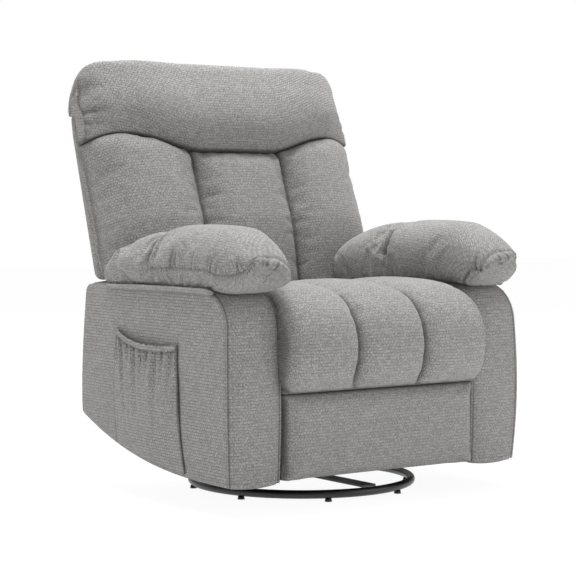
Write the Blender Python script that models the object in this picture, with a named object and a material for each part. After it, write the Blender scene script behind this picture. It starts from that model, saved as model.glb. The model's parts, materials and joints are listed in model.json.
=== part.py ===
"""Swivel rocking recliner: ring base, turntable, sprung rocker, folding footrest and reclining back.

Metres, +Z up. The sitter faces -Y, so the sitter's right hand is at -X. Every piece is first laid
out about the swivel axis; the chair's root empty then brings the middle of its outline over the origin.
"""
import math

import bmesh
import bpy
from mathutils import Matrix, Vector

# Whole chair
OVERALL_WIDTH = 0.83
ARM_WIDTH = 0.1425
ARM_FRONT_Y = -0.300
ARM_REAR_Y = 0.326
ARM_TOP_Z = 0.486
ARM_FRONT_BOTTOM_Z = 0.063
ARM_REAR_BOTTOM_Z = 0.174

# Clearances
TOUCH_GAP = 0.0003
PIN_GAP = 0.0005
LINK_GAP = 0.001
SIDE_GAP = 0.004
FOOTREST_GAP = 0.004
SEAM_GAP = 0.001

# Ring base
RING_RADIUS = 0.264
RING_TUBE_RADIUS = 0.010
FOOT_HEIGHT = 0.0067
FOOT_RADIUS = 0.007
FOOT_COUNT = 8
SPOKE_WIDTH = 0.040
SPOKE_THICKNESS = 0.005
RACE_OUTER_RADIUS = 0.085
RACE_INNER_RADIUS = 0.040
RACE_THICKNESS = 0.007
TURNTABLE_WIDTH = 0.29
TURNTABLE_LENGTH = 0.32
TURNTABLE_THICKNESS = 0.006
TURNTABLE_CORNER = 0.04

# Rocker
ROCK_AXIS_Z = 0.130
ROD_RADIUS = 0.009
BUSH_WALL = 0.004
BUSH_OVERHANG = 0.002
BRACKET_X = 0.117
BRACKET_THICKNESS = 0.006
BRACKET_FOOT_LENGTH = 0.15
BRACKET_EYE_RADIUS = 0.022
CRADLE_GAP = 0.008
CRADLE_PLATE_Z = 0.196
CRADLE_PLATE_THICKNESS = 0.005
CRADLE_LENGTH = 0.26
CRADLE_EYE_RADIUS = 0.020
SPRING_Y = 0.105
SPRING_COIL_RADIUS = 0.024
SPRING_WIRE_RADIUS = 0.0032
SPRING_TURNS = 5

# Seat box
SEAT_BOARD_THICKNESS = 0.015
SEAT_BOARD_Z = 0.3293
SEAT_REAR_Y = 0.112
RAIL_HEIGHT = 0.062
FRONT_RAIL_DEPTH = 0.020
SIDE_RAIL_THICKNESS = 0.0174
SIDE_RAIL_REAR_Y = 0.150
CROSS_TUBE = 0.025
FRONT_CROSS_Y = -0.110
REAR_CROSS_Y = 0.055
REAR_CROSS_Z = 0.222
MECH_PLATE_THICKNESS = 0.004

# Footrest linkage, in the side view
LINK_THICKNESS = 0.004
LINK_RADIUS = 0.010
PIN_RADIUS = 0.004
FRONT_PIVOT = (-0.180, 0.285)
PIVOT_SPACING = 0.060
SWING_LENGTH = 0.220
SWING_STOWED_ANGLE = math.radians(233.0)
CARRIER_LENGTH = 0.1265
CARRIER_ANGLE = math.radians(37.25)
CRANK_LENGTH = 0.030
CRANK_ANGLE = math.radians(25.0)
CROSS_BAR_ALONG = 0.050
CROSS_BAR_RADIUS = 0.008

# Footrest panel
FOOTREST_BOTTOM_Z = 0.066
FOOTREST_BOARD_THICKNESS = 0.015
FOOTREST_PAD_THICKNESS = 0.058
FOOTREST_PAD_ROUND = 0.024
FOOTREST_PAD_CROWN = 0.004
BRACKET_REACH = 0.090
BRACKET_RISES = (0.035, -0.045)
FOOTREST_EDGE_POWER = 18

# Seat cushion
SEAM_Z = 0.260
SEAT_CROWN_Z = 0.493
SEAT_REAR_Z = 0.440
SEAT_FRONT_Y = -0.334
SEAT_CHANNEL_CROWN = 0.012
SEAT_EDGE_ROUND = 0.014
SEAT_EDGE_POWER = 16
SEAT_BROW_SETBACK = 0.112
SEAT_BROW_DROP = 0.004
SEAT_TOP_SWELL = 0.007
SEAT_REAR_PULL = 0.060
SEAT_BROW_PULL = 0.100
SEAT_ROLL_PULL = 0.050
SEAT_ROLL_HEIGHT = 0.100
SEAT_SEAM_SETBACK = 0.016
SEAT_SEAM_LIFT = 0.006
SEAT_ROLL_FOOT = 0.022
CHANNEL_POWER = 2.4
CHANNEL_COUNT = 3

# Back
RECLINE_AXIS = (0.255, 0.330)
BACK_LEAN = math.radians(21.0)
BACK_HALF_WIDTH = 0.398
BACK_TOP_HALF_WIDTH = 0.384
BACK_REAR_W = 0.0207
SHELL_SKIN = 0.006
SHELL_DEPTH = 0.030
SHELL_RIM = 0.014
SHELL_BOTTOM_V = 0.172
SHELL_TOP_V = 0.622
SHELL_CORNER = 0.045
BACK_PANEL_THICKNESS = 0.015
BACK_PANEL_MARGIN = 0.018
BACK_EYE_RADIUS = 0.016
BACK_BRACKET_TOP_V = 0.150
WING_V = 0.162
CUSHION_BOTTOM_V = 0.018
GROOVE_W = 0.152
BACK_CHANNEL_CROWN = 0.022
CUSHION_EDGE_W = 0.103
BACK_CHANNEL_X = 0.133
WAVE_MIDDLE_V = 0.458
WAVE_RISE = 0.050
WAVE_START = 0.22
WAVE_SPAN = 1.2
CUSHION_DRAW = 0.030
CUSHION_SIDE_POWER = 3.2
FOOT_ROWS = ((0.0, 1.0), (0.25, 0.45), (0.6, 0.1), (0.98, 0.0))
WING_ROWS = ((0.0, 0.15), (0.06, 0.0), (0.2, 0.0), (0.36, 0.0), (0.52, 0.0), (0.68, 0.02),
             (0.82, 0.10), (0.92, 0.35), (0.97, 0.65), (1.0, 1.0))
PILLOW_TOP_V = 0.704
PILLOW_CROWN_W = 0.205
PILLOW_CORNER_X = 0.100
PILLOW_END_POWER = 5
PILLOW_TUCK = 0.014
PILLOW_BROW = 0.62
PILLOW_CHIN = (0.020, 0.090)
PILLOW_SLOPE = 0.018
PILLOW_BROW_RISE = 0.080
PILLOW_SUMMIT = 0.040
PILLOW_TOP_PULL = 0.085
PILLOW_REAR_BULGE = 0.004
PILLOW_CORNER_V = 0.066
FLAP_THICKNESS = 0.005
FLAP_BOTTOM_Z = 0.205

# Arm pads and pocket
PAD_FRONT_Y = -0.345
PAD_BACK_GAP = 0.010
PAD_HEIGHT = 0.146
PAD_OVERHANG = 0.006
PAD_DROOP = 0.012
PAD_INNER_SET = 0.0025
PAD_WAIST = 0.40
PAD_SIDE_POWER = 0.72
PAD_TOP_POWER = 0.85
PAD_FOOT_POWER = 0.45
PAD_FRONT_SHARE = 0.22
PAD_REAR_SHARE = 0.20
PAD_END_POWER = 2.4
PAD_END_HEIGHT = 0.42
PAD_SWELL = 0.20
PAD_FRONT_LIFT = 0.25
PAD_REAR_LIFT = 0.12
PAD_FRONT_DRAW = (0.16, 0.34)
PAD_REAR_DRAW = (0.12, 0.14)
PAD_STATIONS = (0.0, 0.02, 0.06, 0.12, 0.2, 0.3, 0.4, 0.5, 0.6, 0.7, 0.8, 0.88, 0.94, 0.98, 1.0)
ARM_FRONT_RADIUS = 0.090
ARM_REAR_RADIUS = 0.020
ARM_EDGE_ROUND = 0.012
ARM_CORE_THICKNESS = 0.030
ARM_CORE_INSET = 0.035
ARM_CORE_RECESS = 0.004
ARM_REAR_RAKE = 0.010
ARM_HEEL_HEIGHT = 0.050
ARM_HEEL_RAKE = 0.002
ARM_FOOT_POWER = 2.7
ARM_FRONT_BULGE = 0.006
ARM_FOOT_STEPS = 8
POCKET_FRONT_Y = -0.110
POCKET_REAR_Y = 0.177
POCKET_MOUTH_FRONT_Z = 0.360
POCKET_MOUTH_REAR_Z = 0.383
POCKET_MOUTH_DIP = 0.014
POCKET_BULGE = 0.0065
POCKET_CLOTH = 0.0025
POCKET_SIDE_POWER = 0.6
POCKET_RISE_POWER = 0.8

# Release strap
STRAP_Y = -0.100
STRAP_WIDTH = 0.028
STRAP_THICKNESS = 0.0024
STRAP_TOP_Z = 0.525

# Facets
HOLE_STEPS = 12
ROUND_STEPS = 24
RING_STEPS = 48
CHANNEL_STEPS = 8
SPRING_STEPS = 10
SPRING_SIDES = 6
PAD_STEPS = 20
POCKET_COLUMNS = 10
POCKET_ROWS = 8
FOOTREST_COLUMNS = 14

# Derived places
ARM_OUTER_X = OVERALL_WIDTH / 2
ARM_INNER_X = ARM_OUTER_X - ARM_WIDTH
SEAT_HALF_WIDTH = ARM_INNER_X - SIDE_GAP
RING_Z = FOOT_HEIGHT + TOUCH_GAP + RING_TUBE_RADIUS
SPOKE_Z = RING_Z + RING_TUBE_RADIUS + TOUCH_GAP
LOWER_RACE_Z = SPOKE_Z + SPOKE_THICKNESS + TOUCH_GAP
UPPER_RACE_Z = LOWER_RACE_Z + RACE_THICKNESS + TOUCH_GAP
TURNTABLE_Z = UPPER_RACE_Z + RACE_THICKNESS + TOUCH_GAP
TURNTABLE_TOP_Z = TURNTABLE_Z + TURNTABLE_THICKNESS
CRADLE_SIDE_X = BRACKET_X + BRACKET_THICKNESS + CRADLE_GAP
CRADLE_OUTER_X = CRADLE_SIDE_X + BRACKET_THICKNESS
SEAT_BOARD_TOP_Z = SEAT_BOARD_Z + SEAT_BOARD_THICKNESS
RAIL_TOP_Z = SEAT_BOARD_Z - TOUCH_GAP
CROSS_BOTTOM_Z = RAIL_TOP_Z - CROSS_TUBE
SIDE_RAIL_OUTER_X = ARM_INNER_X - TOUCH_GAP
SIDE_RAIL_INNER_X = SIDE_RAIL_OUTER_X - SIDE_RAIL_THICKNESS
PLATE_OUTER_X = SIDE_RAIL_INNER_X - TOUCH_GAP
PLATE_INNER_X = PLATE_OUTER_X - MECH_PLATE_THICKNESS
SWING_OUTER_X = PLATE_INNER_X - LINK_GAP
SWING_INNER_X = SWING_OUTER_X - LINK_THICKNESS
CARRIER_OUTER_X = SWING_INNER_X - LINK_GAP
CARRIER_INNER_X = CARRIER_OUTER_X - LINK_THICKNESS
DRIVE_OUTER_X = CARRIER_INNER_X - LINK_GAP
DRIVE_INNER_X = DRIVE_OUTER_X - LINK_THICKNESS
SIDES = {"right": -1, "left": 1}


def polar(length, angle):
    """Step in the side view, with the angle measured from straight ahead towards up."""
    return (-length * math.cos(angle), length * math.sin(angle))


def add(a, b):
    return (a[0] + b[0], a[1] + b[1])


SWING_FOOT = add(FRONT_PIVOT, polar(SWING_LENGTH, SWING_STOWED_ANGLE))
REAR_PIVOT = (FRONT_PIVOT[0] + PIVOT_SPACING, FRONT_PIVOT[1])
REAR_FOOT = (SWING_FOOT[0] + PIVOT_SPACING, SWING_FOOT[1])
FOOTREST_PIVOT = add(SWING_FOOT, polar(CARRIER_LENGTH, CARRIER_ANGLE))
CRANK_STEP = polar(CRANK_LENGTH, SWING_STOWED_ANGLE + CRANK_ANGLE)
SWING_CRANK = add(SWING_FOOT, CRANK_STEP)
FOOTREST_CRANK = add(FOOTREST_PIVOT, CRANK_STEP)
CROSS_BAR = add(FRONT_PIVOT, polar(CROSS_BAR_ALONG, SWING_STOWED_ANGLE))
BOARD_REAR_Y = FOOTREST_PIVOT[0] - BRACKET_REACH
BOARD_FRONT_Y = BOARD_REAR_Y - FOOTREST_BOARD_THICKNESS
FOOTREST_TOP_Z = SEAM_Z - FOOTREST_GAP
FRONT_RAIL_FRONT_Y = BOARD_FRONT_Y

# Joint points of the moving bodies, as (x, y, z) about the swivel axis
JOINT_POINTS = {
    "base": (0.0, 0.0, 0.0),
    "turntable": (0.0, 0.0, UPPER_RACE_Z),
    "chassis": (0.0, 0.0, ROCK_AXIS_Z),
    "swing_links": (0.0, *FRONT_PIVOT),
    "rear_links": (0.0, *REAR_PIVOT),
    "carriers": (0.0, *SWING_FOOT),
    "footrest": (0.0, *FOOTREST_PIVOT),
    "drive_links": (0.0, *SWING_CRANK),
    "backrest": (0.0, *RECLINE_AXIS),
    "release": (-(SEAT_HALF_WIDTH + SIDE_GAP / 2), STRAP_Y, SEAT_BOARD_TOP_Z),
}
BODY_PARENTS = {
    "turntable": "base",
    "chassis": "turntable",
    "swing_links": "chassis",
    "rear_links": "chassis",
    "carriers": "swing_links",
    "footrest": "carriers",
    "drive_links": "swing_links",
    "backrest": "chassis",
    "release": "chassis",
}


def clear_scene():
    for item in list(bpy.data.objects):
        bpy.data.objects.remove(item, do_unlink=True)


def make_material(name, colour, roughness, metallic=0.0):
    material = bpy.data.materials.new(name)
    material.use_nodes = True
    shader = material.node_tree.nodes["Principled BSDF"]
    shader.inputs["Base Color"].default_value = (*colour, 1.0)
    shader.inputs["Roughness"].default_value = roughness
    shader.inputs["Metallic"].default_value = metallic
    return material


def make_empty(name, parent=None, location=(0.0, 0.0, 0.0)):
    empty = bpy.data.objects.new(name, None)
    bpy.context.collection.objects.link(empty)
    empty.parent = parent
    empty.location = location
    return empty


def make_bodies():
    """One empty on each joint's axis; the backrest's empty also carries its lean."""
    empties = {"base": make_empty("chair_root")}
    for body, parent in BODY_PARENTS.items():
        step = Vector(JOINT_POINTS[body]) - Vector(JOINT_POINTS[parent])
        empties[body] = make_empty(body + "_axis", empties[parent], step)
    empties["backrest"].rotation_euler.x = -BACK_LEAN
    return empties


def finish(bm, name, body, material, smooth_angle=35.0, local=False):
    """Turn a bmesh, laid out about the swivel axis, into a named piece under its body's empty."""
    bmesh.ops.recalc_face_normals(bm, faces=bm.faces[:])
    if not local:
        bmesh.ops.translate(bm, verts=bm.verts[:], vec=-Vector(JOINT_POINTS[body]))
    mesh = bpy.data.meshes.new(name)
    bm.to_mesh(mesh)
    bm.free()
    mesh.shade_smooth()
    mesh.set_sharp_from_angle(angle=math.radians(smooth_angle))
    mesh.materials.append(material)
    piece = bpy.data.objects.new(name, mesh)
    bpy.context.collection.objects.link(piece)
    piece.parent = BODIES[body]
    return piece


def circle(centre, radius, steps):
    """Points of a circle in the side view, as (y, z)."""
    turns = [2 * math.pi * step / steps for step in range(steps)]
    return [(centre[0] + radius * math.cos(a), centre[1] + radius * math.sin(a)) for a in turns]


def arc(centre, radius, start, end, steps):
    """Points of an arc in the side view, with its angles in degrees."""
    turns = [math.radians(start + (end - start) * step / steps) for step in range(steps + 1)]
    return [(centre[0] + radius * math.cos(a), centre[1] + radius * math.sin(a)) for a in turns]


def hull(circles, steps=16):
    """Outline of a strap drawn round circles, given as (centre, radius)."""
    points = sorted({point for centre, radius in circles for point in circle(centre, radius, steps)})

    def chain(ordered):
        path = []
        for p in ordered:
            while len(path) > 1:
                a, b = path[-2], path[-1]
                if (b[0] - a[0]) * (p[1] - a[1]) - (b[1] - a[1]) * (p[0] - a[0]) > 0:
                    break
                path.pop()
            path.append(p)
        return path[:-1]

    return chain(points) + chain(points[::-1])


def bezier(p0, p1, p2, p3, steps):
    """Points of a cubic curve after its first end."""
    points = []
    for step in range(1, steps + 1):
        t = step / steps
        weights = ((1 - t) ** 3, 3 * t * (1 - t) ** 2, 3 * t * t * (1 - t), t ** 3)
        points.append(tuple(sum(w * p[i] for w, p in zip(weights, (p0, p1, p2, p3))) for i in (0, 1)))
    return points


def inset(points, distance):
    """Move a counter-clockwise outline inwards by a distance."""
    moved = []
    count = len(points)
    for i, point in enumerate(points):
        before = Vector(point) - Vector(points[i - 1])
        after = Vector(points[(i + 1) % count]) - Vector(point)
        normal = Vector((-before.y, before.x)).normalized() + Vector((-after.y, after.x)).normalized()
        normal.normalize()
        edge = Vector((-before.y, before.x)).normalized()
        moved.append(tuple(Vector(point) + normal * (distance / max(normal.dot(edge), 0.5))))
    return moved


def wall(bm, first, second):
    count = len(first)
    for i in range(count):
        j = (i + 1) % count
        bm.faces.new((first[i], first[j], second[j], second[i]))


def fill(bm, loops):
    """Flat face inside the first loop and outside the others."""
    edges = []
    for loop in loops:
        for a, b in zip(loop, loop[1:] + loop[:1]):
            edges.append(bm.edges.get((a, b)) or bm.edges.new((a, b)))
    bmesh.ops.triangle_fill(bm, use_beauty=True, use_dissolve=False, edges=edges)


def side_plate(outline, holes, x_face, x_back, pins=(), pin_end=None):
    """Plate between two X planes, with holes, and pins that stand on its face."""
    bm = bmesh.new()
    loops = [outline] + list(holes)
    face = [[bm.verts.new((x_face, y, z)) for y, z in loop] for loop in loops]
    back = [[bm.verts.new((x_back, y, z)) for y, z in loop] for loop in loops]
    for first, second in zip(face, back):
        wall(bm, first, second)
    for loop in pins:
        root = [bm.verts.new((x_face, y, z)) for y, z in loop]
        tip = [bm.verts.new((pin_end, y, z)) for y, z in loop]
        wall(bm, root, tip)
        bm.faces.new(tip)
        face.append(root)
    fill(bm, face)
    fill(bm, back)
    return bm


def loft(rings):
    """Closed body through rings of equal point counts, with flat ends."""
    bm = bmesh.new()
    loops = [[bm.verts.new(point) for point in ring] for ring in rings]
    for first, second in zip(loops, loops[1:]):
        wall(bm, first, second)
    bm.faces.new(loops[0])
    bm.faces.new(loops[-1])
    return bm


def across(points, x):
    """Lift side-view points to a plane across the chair."""
    return [(x, y, z) for y, z in points]


def level(points, z):
    """Lift plan points to a height."""
    return [(x, y, z) for x, y in points]


def block(low, high):
    """Box between two corners."""
    plan = [(low[0], low[1]), (high[0], low[1]), (high[0], high[1]), (low[0], high[1])]
    return loft([level(plan, low[2]), level(plan, high[2])])


def annulus_along_x(centre, inner, outer, x_low, x_high):
    return side_plate(circle(centre, outer, ROUND_STEPS), [circle(centre, inner, ROUND_STEPS)], x_low, x_high)


def hole(centre):
    return circle(centre, PIN_RADIUS + PIN_GAP, HOLE_STEPS)


def pin(centre):
    return circle(centre, PIN_RADIUS, HOLE_STEPS)


def rod_along_x(centre, radius, x_low, x_high, steps=ROUND_STEPS):
    points = circle(centre, radius, steps)
    return loft([across(points, x_low), across(points, x_high)])


def swept_ring(radius, tube_radius, height, steps, sides):
    """Closed round tube about the swivel axis."""
    bm = bmesh.new()
    loops = []
    for step in range(steps):
        turn = 2 * math.pi * step / steps
        loop = []
        for r, z in circle((radius, height), tube_radius, sides):
            loop.append(bm.verts.new((r * math.cos(turn), r * math.sin(turn), z)))
        loops.append(loop)
    for i in range(steps):
        wall(bm, loops[i], loops[(i + 1) % steps])
    return bm


def flat_ring(inner, outer, low, high):
    """Washer about the swivel axis."""
    bm = bmesh.new()
    loops = []
    for radius, z in ((inner, low), (outer, low), (outer, high), (inner, high)):
        loops.append([bm.verts.new(point) for point in level(circle((0.0, 0.0), radius, RING_STEPS), z)])
    for i in range(len(loops)):
        wall(bm, loops[i], loops[(i + 1) % len(loops)])
    return bm


def rounded_rectangle(half_x, half_y, radius, steps=4):
    points = []
    for turn, (sx, sy) in enumerate(((1, 1), (-1, 1), (-1, -1), (1, -1))):
        centre = (sx * (half_x - radius), sy * (half_y - radius))
        points += arc(centre, radius, 90 * turn, 90 * turn + 90, steps)
    return points


def base_ring():
    tube = swept_ring(RING_RADIUS, RING_TUBE_RADIUS, RING_Z, RING_STEPS, HOLE_STEPS)
    finish(tube, "base_ring", "base", STEEL)


def base_feet():
    """Moulded glides under the ring, set between its spokes."""
    for number in range(FOOT_COUNT):
        turn = 2 * math.pi * (number + 0.5) / FOOT_COUNT
        centre = (RING_RADIUS * math.cos(turn), RING_RADIUS * math.sin(turn))
        plan = circle(centre, FOOT_RADIUS, HOLE_STEPS)
        glide = loft([level(plan, 0.0), level(plan, FOOT_HEIGHT)])
        finish(glide, f"base_foot_{number + 1}", "base", PLASTIC)


def base_spokes():
    """Cross of two flat bars that lies on the ring, one arm straight ahead."""
    half = SPOKE_WIDTH / 2
    reach = RING_RADIUS
    plan = []
    for turn in range(4):
        cos, sin = round(math.cos(turn * math.pi / 2)), round(math.sin(turn * math.pi / 2))
        for x, y in ((reach, -half), (reach, half), (half, half)):
            plan.append((x * cos - y * sin, x * sin + y * cos))
    bm = loft([level(plan, SPOKE_Z), level(plan, SPOKE_Z + SPOKE_THICKNESS)])
    finish(bm, "base_spokes", "base", STEEL)


def swivel_bearing():
    lower = flat_ring(RACE_INNER_RADIUS, RACE_OUTER_RADIUS, LOWER_RACE_Z, LOWER_RACE_Z + RACE_THICKNESS)
    finish(lower, "lower_race", "base", ZINC)
    upper = flat_ring(RACE_INNER_RADIUS, RACE_OUTER_RADIUS, UPPER_RACE_Z, UPPER_RACE_Z + RACE_THICKNESS)
    finish(upper, "upper_race", "turntable", ZINC)


def turntable_plate():
    plan = rounded_rectangle(TURNTABLE_WIDTH / 2, TURNTABLE_LENGTH / 2, TURNTABLE_CORNER)
    bm = loft([level(plan, TURNTABLE_Z), level(plan, TURNTABLE_TOP_Z)])
    finish(bm, "turntable_plate", "turntable", STEEL)


def rock_brackets():
    """Upright ears on the turntable, each with a nylon bush for the rocking rod."""
    axis = (0.0, ROCK_AXIS_Z)
    foot_z = TURNTABLE_TOP_Z + TOUCH_GAP
    bush_radius = ROD_RADIUS + TOUCH_GAP + BUSH_WALL
    half = BRACKET_FOOT_LENGTH / 2
    outline = [(-half, foot_z), (half, foot_z), (half, foot_z + BRACKET_EYE_RADIUS)]
    outline += arc(axis, BRACKET_EYE_RADIUS, 20, 160, 8)
    outline += [(-half, foot_z + BRACKET_EYE_RADIUS)]
    for side, sign in SIDES.items():
        inner, outer = sign * BRACKET_X, sign * (BRACKET_X + BRACKET_THICKNESS)
        eye = circle(axis, bush_radius + TOUCH_GAP, ROUND_STEPS)
        finish(side_plate(outline, [eye], inner, outer), f"rock_bracket_{side}", "turntable", STEEL)
        low, high = sign * (BRACKET_X - BUSH_OVERHANG), sign * (BRACKET_X + BRACKET_THICKNESS + BUSH_OVERHANG)
        bush = annulus_along_x(axis, ROD_RADIUS + TOUCH_GAP, bush_radius, low, high)
        finish(bush, f"rock_bush_{side}", "turntable", NYLON)


def rock_springs():
    """Coil springs before and behind the rod, between turntable and cradle; each is one unbroken wire."""
    low = TURNTABLE_TOP_Z + TOUCH_GAP + SPRING_WIRE_RADIUS
    high = CRADLE_PLATE_Z - TOUCH_GAP - SPRING_WIRE_RADIUS
    pitch = (high - low) / SPRING_TURNS
    print("spring wire gap, mm:", round(1000 * (pitch - 2 * SPRING_WIRE_RADIUS), 2))
    count = SPRING_TURNS * SPRING_STEPS
    for place, sign in (("front", -1), ("rear", 1)):
        rings = []
        for step in range(count + 1):
            turn = 2 * math.pi * step / SPRING_STEPS
            out = Vector((math.cos(turn), math.sin(turn), 0.0))
            rise = low + (high - low) * step / count
            middle = Vector((0.0, sign * SPRING_Y, rise)) + out * SPRING_COIL_RADIUS
            wire = circle((0.0, 0.0), SPRING_WIRE_RADIUS, SPRING_SIDES)
            rings.append([middle + out * a + Vector((0.0, 0.0, b)) for a, b in wire])
        finish(loft(rings), f"rock_spring_{place}", "turntable", ZINC)


def rocker_cradle():
    """Welded tray that rocks: a plate, two side plates with eyes, and the rod through them."""
    half = CRADLE_LENGTH / 2
    axis = (0.0, ROCK_AXIS_Z)
    inner = CRADLE_SIDE_X - TOUCH_GAP
    plate = block((-inner, -half, CRADLE_PLATE_Z), (inner, half, CRADLE_PLATE_Z + CRADLE_PLATE_THICKNESS))
    finish(plate, "cradle_plate", "chassis", STEEL)
    post = CROSS_TUBE / 2
    outline = arc(axis, CRADLE_EYE_RADIUS, 200, 340, 8)
    outline += [(half, CRADLE_PLATE_Z), (half, REAR_CROSS_Z - post - TOUCH_GAP)]
    outline += [(FRONT_CROSS_Y + 2 * post, REAR_CROSS_Z - post - TOUCH_GAP)]
    shelf = CROSS_BOTTOM_Z - TOUCH_GAP
    outline += [(FRONT_CROSS_Y + post, shelf), (FRONT_CROSS_Y - post, shelf)]
    outline += [(-half, CRADLE_PLATE_Z)]
    for side, sign in SIDES.items():
        eye = circle(axis, ROD_RADIUS + TOUCH_GAP, ROUND_STEPS)
        bm = side_plate(outline, [eye], sign * CRADLE_SIDE_X, sign * CRADLE_OUTER_X)
        finish(bm, f"cradle_side_{side}", "chassis", STEEL)
    end = CRADLE_OUTER_X + BUSH_OVERHANG
    finish(rod_along_x(axis, ROD_RADIUS, -end, end), "rock_rod", "chassis", ZINC)


def cross_tubes():
    """Square tubes that tie the two mechanism plates to the cradle."""
    end = PLATE_INNER_X - TOUCH_GAP
    post = CROSS_TUBE / 2
    for name, y, z in (("front", FRONT_CROSS_Y, CROSS_BOTTOM_Z + post), ("rear", REAR_CROSS_Y, REAR_CROSS_Z)):
        bm = block((-end, y - post, z - post), (end, y + post, z + post))
        finish(bm, f"frame_cross_{name}", "chassis", STEEL)


def mechanism_plates():
    """Side plates with the fixed pivots of the footrest and of the back."""
    front = FRONT_PIVOT[0] - 2 * LINK_RADIUS
    eye = 2 * LINK_RADIUS
    post = CROSS_TUBE / 2 + LINK_RADIUS / 2
    sill = FRONT_PIVOT[1] - LINK_RADIUS
    outline = [(front, sill), (REAR_PIVOT[0] + LINK_RADIUS, sill)]
    outline += [(REAR_CROSS_Y - post, REAR_CROSS_Z - post), (REAR_CROSS_Y + post, REAR_CROSS_Z - post)]
    outline += arc(RECLINE_AXIS, eye, -60, 100, 8)
    outline += [(SIDE_RAIL_REAR_Y, RAIL_TOP_Z), (front, RAIL_TOP_Z)]
    pins = [pin(FRONT_PIVOT), pin(REAR_PIVOT), pin(RECLINE_AXIS)]
    for side, sign in SIDES.items():
        bm = side_plate(outline, [], sign * PLATE_INNER_X, sign * PLATE_OUTER_X, pins, sign * SWING_INNER_X)
        finish(bm, f"mechanism_plate_{side}", "chassis", STEEL)


def seat_box():
    """Wooden rails and the board that the seat cushion lies on."""
    bottom = RAIL_TOP_Z - RAIL_HEIGHT
    front_rear_y = FRONT_RAIL_FRONT_Y + FRONT_RAIL_DEPTH
    half = SIDE_RAIL_OUTER_X
    rail = block((-half, FRONT_RAIL_FRONT_Y, bottom), (half, front_rear_y, RAIL_TOP_Z))
    finish(rail, "seat_front_rail", "chassis", WOOD)
    for side, sign in SIDES.items():
        xs = sorted((sign * SIDE_RAIL_INNER_X, sign * SIDE_RAIL_OUTER_X))
        bm = block((xs[0], front_rear_y + TOUCH_GAP, bottom), (xs[1], SIDE_RAIL_REAR_Y, RAIL_TOP_Z))
        finish(bm, f"seat_side_rail_{side}", "chassis", WOOD)
    low = (-SEAT_HALF_WIDTH, FRONT_RAIL_FRONT_Y, SEAT_BOARD_Z)
    finish(block(low, (SEAT_HALF_WIDTH, SEAT_REAR_Y, SEAT_BOARD_TOP_Z)), "seat_board", "chassis", WOOD)


def bulge(share):
    """Crown of a channel: 0 at its seams and 1 in its middle."""
    return 1.0 - abs(2.0 * share - 1.0) ** CHANNEL_POWER


def seat_section(offset):
    """Side view of the seat cushion, moved out by an offset along its top and front."""
    low = SEAT_BOARD_TOP_Z + TOUCH_GAP
    inner = FRONT_RAIL_FRONT_Y - TOUCH_GAP
    swell = SEAT_CROWN_Z + SEAT_TOP_SWELL
    rear = (SEAT_REAR_Y, SEAT_REAR_Z)
    brow = (SEAT_FRONT_Y + SEAT_BROW_SETBACK, SEAT_CROWN_Z - SEAT_BROW_DROP)
    seam = (SEAT_FRONT_Y + SEAT_SEAM_SETBACK, SEAM_Z + SEAT_SEAM_LIFT)
    path = [rear]
    path += bezier(rear, (rear[0] - SEAT_REAR_PULL, swell), (brow[0] + SEAT_BROW_PULL, swell), brow, 6)
    knee = (SEAT_FRONT_Y, brow[1] - 2 * SEAT_BROW_DROP)
    nose = (SEAT_FRONT_Y - SEAT_ROLL_PULL, SEAM_Z + SEAT_ROLL_HEIGHT)
    path += bezier(brow, knee, nose, seam, 9)
    count = len(path)
    moved = []
    for i, point in enumerate(path):
        before, after = path[max(i - 1, 0)], path[min(i + 1, count - 1)]
        tangent = Vector((after[0] - before[0], after[1] - before[1])).normalized()
        weight = min(1.0, i / 2, (count - 1 - i) / 2)
        moved.append((point[0] + tangent.y * offset * weight, point[1] - tangent.x * offset * weight))
    return moved + [(seam[0] + SEAT_ROLL_FOOT, SEAM_Z), (inner, SEAM_Z), (inner, low), (SEAT_REAR_Y, low)]


def seat_cushion():
    """Channelled cushion whose front roll comes down to the footrest."""
    rings = []
    columns = CHANNEL_COUNT * CHANNEL_STEPS
    for column in range(columns + 1):
        x = SEAT_HALF_WIDTH * (2.0 * column / columns - 1.0)
        edge = abs(x) / SEAT_HALF_WIDTH
        crown = SEAT_CHANNEL_CROWN * bulge(column % CHANNEL_STEPS / CHANNEL_STEPS)
        rings.append(across(seat_section(crown - SEAT_EDGE_ROUND * edge ** SEAT_EDGE_POWER), x))
    finish(loft(rings), "seat_cushion", "chassis", FABRIC, 60.0)


def arm_outline():
    """Side view of an arm, counter-clockwise from its front foot."""
    depth = ARM_REAR_Y - ARM_FRONT_Y
    places = [ARM_FRONT_Y + depth * step / ARM_FOOT_STEPS for step in range(ARM_FOOT_STEPS + 1)]
    points = [(y, arm_foot_z(y)) for y in places]
    points.append((ARM_REAR_Y - ARM_HEEL_RAKE, ARM_REAR_BOTTOM_Z + ARM_HEEL_HEIGHT))
    top_rear = (ARM_REAR_Y - ARM_REAR_RAKE - ARM_REAR_RADIUS, ARM_TOP_Z - ARM_REAR_RADIUS)
    points += arc(top_rear, ARM_REAR_RADIUS, 0, 90, 3)
    brow = (ARM_FRONT_Y + ARM_FRONT_RADIUS, ARM_TOP_Z - ARM_FRONT_RADIUS)
    points += [(brow[0] + (top_rear[0] - brow[0]) * share, ARM_TOP_Z) for share in (2 / 3, 1 / 3)]
    points += arc(brow, ARM_FRONT_RADIUS, 90, 180, 7)
    drop = brow[1] - ARM_FRONT_BOTTOM_Z
    for share in (0.75, 0.5, 0.25):
        bow = ARM_FRONT_BULGE * math.sin(math.pi * share)
        points.append((ARM_FRONT_Y - bow, ARM_FRONT_BOTTOM_Z + drop * share))
    return points


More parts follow.
